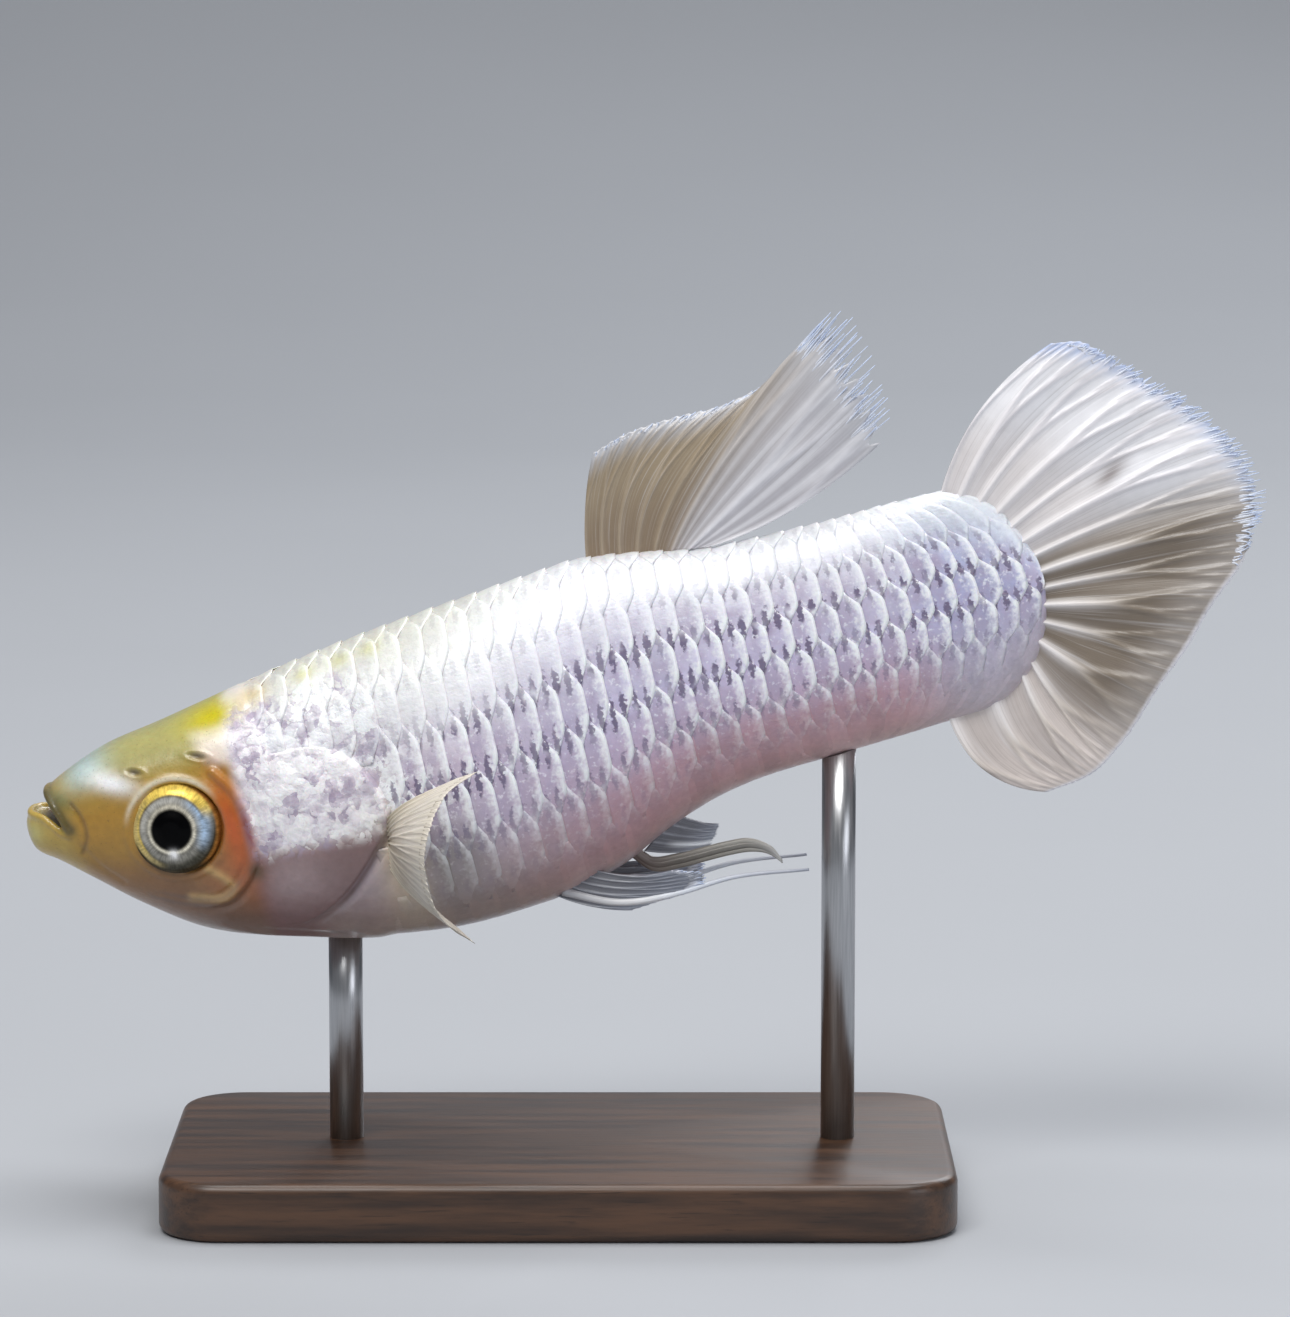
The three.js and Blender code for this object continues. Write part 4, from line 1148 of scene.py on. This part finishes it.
def tail_outline():
    edge = [
        (38, 0.5, 8.42), (39.2, 0.6, 8.2), (40.4, 0.6, 7.4), (41.5, 0.6, 6.4), (42.5, 0.5, 5.45),
        (43.4, 0.3, 4.25), (44, 0.1, 3.2), (44.25, -0.2, 2), (43.9, -0.5, 0.9), (42.7, -0.8, -0.3),
        (41.4, -1, -1.4), (40.2, -1.1, -2.65), (38.8, -1.1, -3.95), (37.4, -1, -5.35),
        (36.1, -0.8, -6.25), (34.5, -0.5, -6.55),
    ]
    root, bend = [], []
    for share, (x, y, z) in zip(np.linspace(0, 1, len(edge)), edge):
        turn = math.radians(float(TAIL_FAN(share)))
        from_x = STALK_X + (STALK_LONG - ROOT_DEPTH) * math.cos(turn)
        from_z = STALK_Z + (STALK_HIGH - ROOT_DEPTH) * math.sin(turn)
        if from_x <= STALK_X:
            from_z = float(ventral(from_x)) + ROOT_DEPTH
        swing = 0.2 * (1 - share) ** 2 - 0.35 * share**8
        root.append((from_x, 0, from_z))
        middle_x = (x + from_x) / 2 - (z - from_z) * swing
        middle_z = (z + from_z) / 2 + (x - from_x) * swing
        bend.append((middle_x, y * 0.2, middle_z))
    return root, bend, edge


def make_tail_fin(material):
    flat = fin_sheet(*tail_outline())

    def sheet(share, reach):
        """The flat sheet with a gentle fold along each ray, one to the left and the next to the right."""
        points = flat(np.interp(share, [0, 0.8, 1], [0, 0.89, 1]), reach)
        swell = np.sin(np.clip(reach, 0, 1) * math.pi) ** 0.8
        points[..., 1] += 0.1 * np.cos(share * (TAIL_RAYS - 1) * math.pi) * swell
        return points

    def fray(share):
        return 0.014 + 0.075 * smoothstep(0.04, 0.15, share) * smoothstep(0.56, 0.45, share)

    fin = make_fin(sheet, TAIL_RAYS, tail_colours, fray, thick=(0.24, 0.1), rise=0.15)
    fringe = make_fringe(sheet, 230, (0.04, 0.54), fray, fringe_colours, 8)
    fin_piece("tail_fin_rayed", [fin, fringe], ("tail_fin",), material)


def cream_fringe(share):
    return ramp(share, [(0, 196, 186, 170), (1, 226, 220, 208)])


def pectoral_colours(ray, reach, ridge, place):
    membrane = mix(rgb(202, 190, 168), rgb(208, 200, 188), smoothstep(0.3, 0.9, reach))
    return mix(membrane, rgb(234, 226, 208), ridge * 0.8)


def make_pectoral_fin(side, word, material):
    joint = ((12.35, -2.1), (12.35, -2.8), (12.15, -3.5))
    sheet = fin_sheet(
        root=[(x, float(side_at(x, z)) - ROOT_DEPTH, z) for x, z in joint],
        bend=[(13.1, 4.7, -1.2), (12.5, 6.2, -2.3), (12.45, 4.5, -4.4)],
        edge=[(16, 5.1, -0.75), (14.8, 6.9, -1.1), (13.8, 8.1, -2.7), (13.7, 7.2, -4.9), (14.6, 5, -6.65)],
    )
    fray = even(0.045)
    fin = make_fin(sheet, 13, pectoral_colours, fray, **THIN_FIN, steps=40, mirror=side)
    fringe = make_fringe(sheet, 60, (0.02, 0.98), fray, cream_fringe, 9, side)
    fin_piece(f"pectoral_fin_{word}_rayed", [fin, fringe], (f"pectoral_fin_{word}",), material)


def pelvic_colours(ray, reach, ridge, place):
    return layered(rgb(112, 114, 122), [
        ((138, 144, 158), smoothstep(0.3, 0.9, reach)),
        ((188, 192, 202), ridge * 0.6),
        ((246, 250, 255), bell(ray - 1, 0.28) * smoothstep(0.15, 0.4, reach)),
    ])


def trailer_colours(share):
    return ramp(share, [
        (0, 190, 192, 198), (0.35, 250, 252, 255), (0.55, 226, 232, 242), (1, 150, 156, 170),
    ])


def make_pelvic_fin(side, word, material):
    """A small fan with one long trailing ray."""
    sheet = fin_sheet(
        root=[(17, 0.75, -6), (17.9, 0.95, -5.85), (18.8, 1.1, -5.6)],
        bend=[(18.3, 1.1, -7), (19, 1.25, -6.9), (19.7, 1.4, -6.6), (20.1, 1.5, -6.25)],
        edge=[
            (19.8, 1.2, -7.25), (21.4, 1.25, -7.1), (22.5, 1.35, -6.85), (22.6, 1.5, -6.5),
            (21.7, 1.6, -6.1),
        ],
    )
    fray = even(0.07)
    fan = make_fin(sheet, 6, pelvic_colours, fray, **THIN_FIN, steps=36, mirror=side)
    fringe = make_fringe(sheet, 30, (0.2, 0.98), fray, fringe_colours, 10, side)
    path = [
        (17.5, side * 0.95, -6.1), (19.3, side * 1.2, -6.85), (21.2, side * 1.3, -6.98),
        (23.4, side * 1.4, -6.85), (25.9, side * 1.5, -7.15),
    ]
    trailer = make_rod(path, lambda share: 0.16 - 0.11 * share, trailer_colours, 12)
    fin_piece(f"pelvic_fin_{word}_rayed", [fan, fringe, trailer], (f"pelvic_fin_{word}",), material)


def gonopodium_strand(lift, thick, shade):
    """One of the rays that make up the rod, raised by lift, its colour times shade: painted light that
    makes the top strand look lit and the middle one shaded.
    """
    path = [
        (20.1, 0, -5.4), (20.7, 0, -6.03), (21.5, 0, -6.12), (22.4, 0, -6.1), (23.3, 0, -6.08),
        (24.1, 0, -6.14), (24.7, 0, -6.44), (25.05, 0, -6.93),
    ]
    greys = [(0, 146, 132, 126), (0.3, 132, 128, 120), (0.8, 146, 144, 138), (1, 172, 172, 170)]
    return make_rod(
        [(x, y, z + lift * (1 - 0.6 * smoothstep(24, 25.05, x))) for x, y, z in path],
        lambda share: thick * (1 - 0.3 * share - 0.5 * smoothstep(0.85, 1, share)),
        lambda share: ramp(share, greys, (1, shade, shade, 1)),
        14,
    )


def make_gonopodium(material):
    # The third number of each strand is painted light: the top strand painted brighter as if lit, the
    # middle one painted darker as if shaded.
    strands = [
        gonopodium_strand(lift, thick, shade)
        for lift, thick, shade in ((0.16, 0.13, 1.35), (0.02, 0.16, 0.75), (-0.14, 0.12, 1.1))
    ]
    sheet = fin_sheet(
        root=[(20.5, 0, -5.5), (21.2, 0, -5), (22, 0, -4.6)],
        bend=[(21.6, 0, -5.95), (22.2, 0, -5.5), (22.7, 0, -5.1)],
        edge=[(23, 0.1, -5.95), (23.2, 0.15, -5.55), (23.35, 0.1, -5.2)],
    )
    size = {"thick": (0.14, 0.07), "rise": 0.06, "steps": 30, "per_gap": 12}
    fan = make_fin(sheet, 5, pelvic_colours, even(0.12), **size)
    fin_piece("gonopodium_rayed", [*strands, fan], ("gonopodium",), material)


# Eyes
EYE_FRONT_RINGS = 42  # the rest close the eyeball's back
PUPIL_EDGE = 0.09  # how far outside the pupil its pale ring lies


def eye_rings():
    """The eyeball's rings round its own axis, from the middle of its front round to its back."""
    rim = EYE_RADIUS * np.sin(np.linspace(1.12, 1.8, 14))
    radius = np.concatenate([np.linspace(0.001, 0.7, 16), np.linspace(0.74, 1.36, 20), rim])[:, None]
    front = np.arange(len(radius))[:, None] < EYE_FRONT_RINGS
    relief = 0.1 * smoothstep(PUPIL_RADIUS + 0.05, 0.3, radius) - 0.03 * bell(radius - 0.95, 0.14)
    out = ball_out(radius) * np.where(front, 1, -1) + relief * front
    turn = np.linspace(0, 2 * math.pi, 96, endpoint=False)
    return np.stack(np.broadcast_arrays(radius * np.cos(turn), out, radius * np.sin(turn)), axis=-1)


def eye_paint(x, z, r, a):
    up = np.sin(a)
    return layered(rgb(84, 82, 72), [
        ((128, 124, 112), smoothstep(-0.4, 0.6, up)),
        ((196, 194, 186), bell(r - 1.02, 0.14) * (0.7 + 0.3 * up)),
        ((176, 200, 226), bell(r - 1.12, 0.18) * smoothstep(0.5, 0.95, np.cos(a - 0.1))),
        ((246, 214, 104), smoothstep(1.12, 1.22, r) * smoothstep(-0.35, 0.15, np.sin(a - 0.4))),
        ((210, 190, 130), 0.8 * smoothstep(1.15, 1.28, r) * smoothstep(0.3, 0.8, -np.cos(a))),
        ((66, 58, 42), smoothstep(1.34, 1.46, r) * smoothstep(0.1, -0.4, up)),
        ((176, 122, 60), smoothstep(1.44, 1.52, r) * smoothstep(0.3, 0.8, np.cos(a))),
        ((104, 92, 70), 0.7 * bell(r - 1.15, 0.035) * smoothstep(0.0, 0.5, up)),
        ((240, 234, 214), bell(r - PUPIL_RADIUS - PUPIL_EDGE, 0.06) * (0.8 - 0.2 * up)),
        ((2, 2, 3), smoothstep(PUPIL_RADIUS + 0.02, PUPIL_RADIUS - 0.03, r)),
        # Painted highlight: a white glint at the lower edge of the pupil.
        ((255, 255, 255), bell(np.hypot(x + 0.12, z + 0.84), 0.11) ** 0.5),
    ])


def make_eye(side, word, material):
    points, faces = closed_rings(eye_rings())
    tilt = np.array(Matrix.Rotation(EYE_FORWARD, 3, "Z") @ Matrix.Rotation(EYE_UPWARD, 3, "X"))
    placed = points @ tilt.T
    placed[:, 1] *= side
    placed += [EYE_X, side * EYE_OUT, EYE_Z]
    x, _, z = points.T
    r, a = np.hypot(x, z), np.arctan2(z, x)
    metal = 0.35 * smoothstep(PUPIL_RADIUS, PUPIL_RADIUS + 0.08, r) * smoothstep(1.4, 1.3, r)
    mesh = new_mesh(f"eye_{word}", placed, outward(placed, faces))
    add_paint(mesh, eye_paint(x, z, r, a))
    add_vectors(mesh, "eye", np.stack([r, a, metal], axis=1))
    finish_piece(f"eyeball_{word}", mesh, material, (f"eye_{word}",))


# Stand
BASE_CORNER, BASE_BEVEL, BASE_TURNS = 2.2 * MM, 0.32 * MM, 10
ROD_REACH = 0.12  # how far a rod's top reaches into the body
ROD_SIDES = 48


def make_base():
    """A block with round corners and bevelled edges, as large as the solid base."""
    low, high = (np.array(corner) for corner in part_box("stand_base"))
    centre, size = (low + high) / 2, high - low
    flat = BASE_CORNER - BASE_BEVEL
    bevel = np.linspace(0, math.pi / 2, 6)
    levels = [(flat + BASE_BEVEL * math.sin(a), BASE_BEVEL * (1 - math.cos(a))) for a in bevel]
    levels += [(radius, size[2] - rise) for radius, rise in reversed(levels)]
    rings = []
    for radius, rise in levels:
        for k, corner in enumerate(((1, 1), (-1, 1), (-1, -1), (1, -1))):
            x, y = centre[:2] + corner * (size[:2] / 2 - BASE_CORNER)
            for a in math.pi / 2 * (k + np.linspace(0, 1, BASE_TURNS + 1)):
                rings.append((x + radius * math.cos(a), y + radius * math.sin(a), low[2] + rise))
    points, faces = closed_rings(np.reshape(rings, (len(levels), -1, 3)))
    mesh = new_mesh("base", points, faces, placed=False)
    finish_piece("base_rounded", mesh, wood_material(), ("stand_base",))


def rod_top(x, y, start):
    """The height of a rod's top at a place on the stand, found from a start near it."""
    z = start
    for _ in range(12):
        fish = np.linalg.inv(FISH_PLACE) @ (x, y, z, 1)
        under = float(section(fish[0])[1])
        z += (under + ROD_REACH - fish[2]) * MM / math.cos(NOSE_DOWN)
    return z


def make_rods():
    """Round rods whose tops follow the body's underside."""
    material = steel_material()
    turn = np.linspace(0, 2 * math.pi, ROD_SIDES, endpoint=False)
    for word in ("front", "rear"):
        low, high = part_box(f"stand_rod_{word}")
        x, radius = (low[0] + high[0]) / 2, (high[0] - low[0]) / 2
        across = np.stack([x + radius * np.cos(turn), radius * np.sin(turn)], axis=1)
        tops = np.array([rod_top(*place, high[2] - 1.5 * MM) for place in across])
        heights = [low[2] + share * (tops - low[2]) for share in (0, 0.7, 1)]
        rings = np.stack([np.column_stack([across, height]) for height in heights])
        mesh = new_mesh(f"rod_{word}", *closed_rings(rings), placed=False)
        finish_piece(f"rod_{word}_smooth", mesh, material, (f"stand_rod_{word}",))


# Stage, lights and camera
LIT_PLACE = (0.003, 0, 0.018)


def make_stage():
    """A floor that bends up into a wall behind the stand."""
    flat, bend = 0.25, 0.3
    turn = np.linspace(0.1, math.pi / 2, 14)
    curve = [(flat + bend * math.sin(a), bend * (1 - math.cos(a))) for a in turn]
    profile = [(-1.2, 0), (flat, 0), *curve, (flat + bend, 1.4)]
    points = [(x, y, z - 0.01 * MM) for y, z in profile for x in (-1.6, 1.6)]
    faces = [[2 * k, 2 * k + 1, 2 * k + 3, 2 * k + 2] for k in range(len(profile) - 1)]
    mesh = new_mesh("floor", points, faces, placed=False)
    mesh.shade_smooth()
    mesh.materials.append(floor_material())
    new_object("floor", mesh)


def aimed(name, data, place, target):
    """A light or camera at a place, turned to a target."""
    obj = new_object(name, data)
    obj.location = place
    obj.rotation_euler = (Vector(target) - Vector(place)).to_track_quat("-Z", "Y").to_euler()
    return obj


def add_lights():
    for name, place, size, watts, colour in (
        ("key", (-0.10, -0.22, 0.34), (0.22, 0.16), 0.95, (1, 0.985, 0.96)),
        ("top", (0.03, 0.04, 0.34), (0.24, 0.2), 0.85, (1, 1, 1)),
        ("fill", (0.28, -0.26, 0.12), (0.2, 0.2), 0.3, (0.93, 0.95, 1)),
        ("rim", (0.12, 0.3, 0.2), (0.2, 0.12), 0.35, (0.94, 0.96, 1)),
    ):
        light = bpy.data.lights.new(name, "AREA")
        light.shape, light.size, light.size_y = "RECTANGLE", *size
        light.energy, light.color = watts, colour
        aimed(name, light, place, LIT_PLACE)
    world = bpy.data.worlds.new("studio")
    world.use_nodes = True
    background = world.node_tree.nodes["Background"]
    background.inputs["Color"].default_value = (0.9, 0.93, 1, 1)
    background.inputs["Strength"].default_value = 0.22
    bpy.context.scene.world = world


CAMERA_RISE = math.radians(8)
CAMERA_DISTANCE = 0.2
CAMERA_TARGET = Vector((2.935, -0.155, 18.754)) * MM
VIEW_WIDTH = 1290 * 0.03425 * MM  # the photograph's width at the fish


def add_camera():
    camera = bpy.data.cameras.new("camera")
    camera.sensor_fit, camera.sensor_width = "HORIZONTAL", 36
    camera.lens = camera.sensor_width * CAMERA_DISTANCE / VIEW_WIDTH
    camera.clip_start, camera.clip_end = 0.01, 10
    back = Vector((0, -math.cos(CAMERA_RISE), math.sin(CAMERA_RISE))) * CAMERA_DISTANCE
    bpy.context.scene.camera = aimed("camera", camera, CAMERA_TARGET + back, CAMERA_TARGET)
    bpy.context.scene.view_settings.view_transform = "Standard"


make_skin()
make_scales()
fins = fin_material()
make_dorsal_fin(fins)
make_tail_fin(fins)
make_gonopodium(fins)
eyes = eye_material()
for side, word in ((-1, "left"), (1, "right")):
    make_pectoral_fin(side, word, fins)
    make_pelvic_fin(side, word, fins)
    make_eye(side, word, eyes)
make_base()
make_rods()
make_stage()
add_lights()
add_camera()
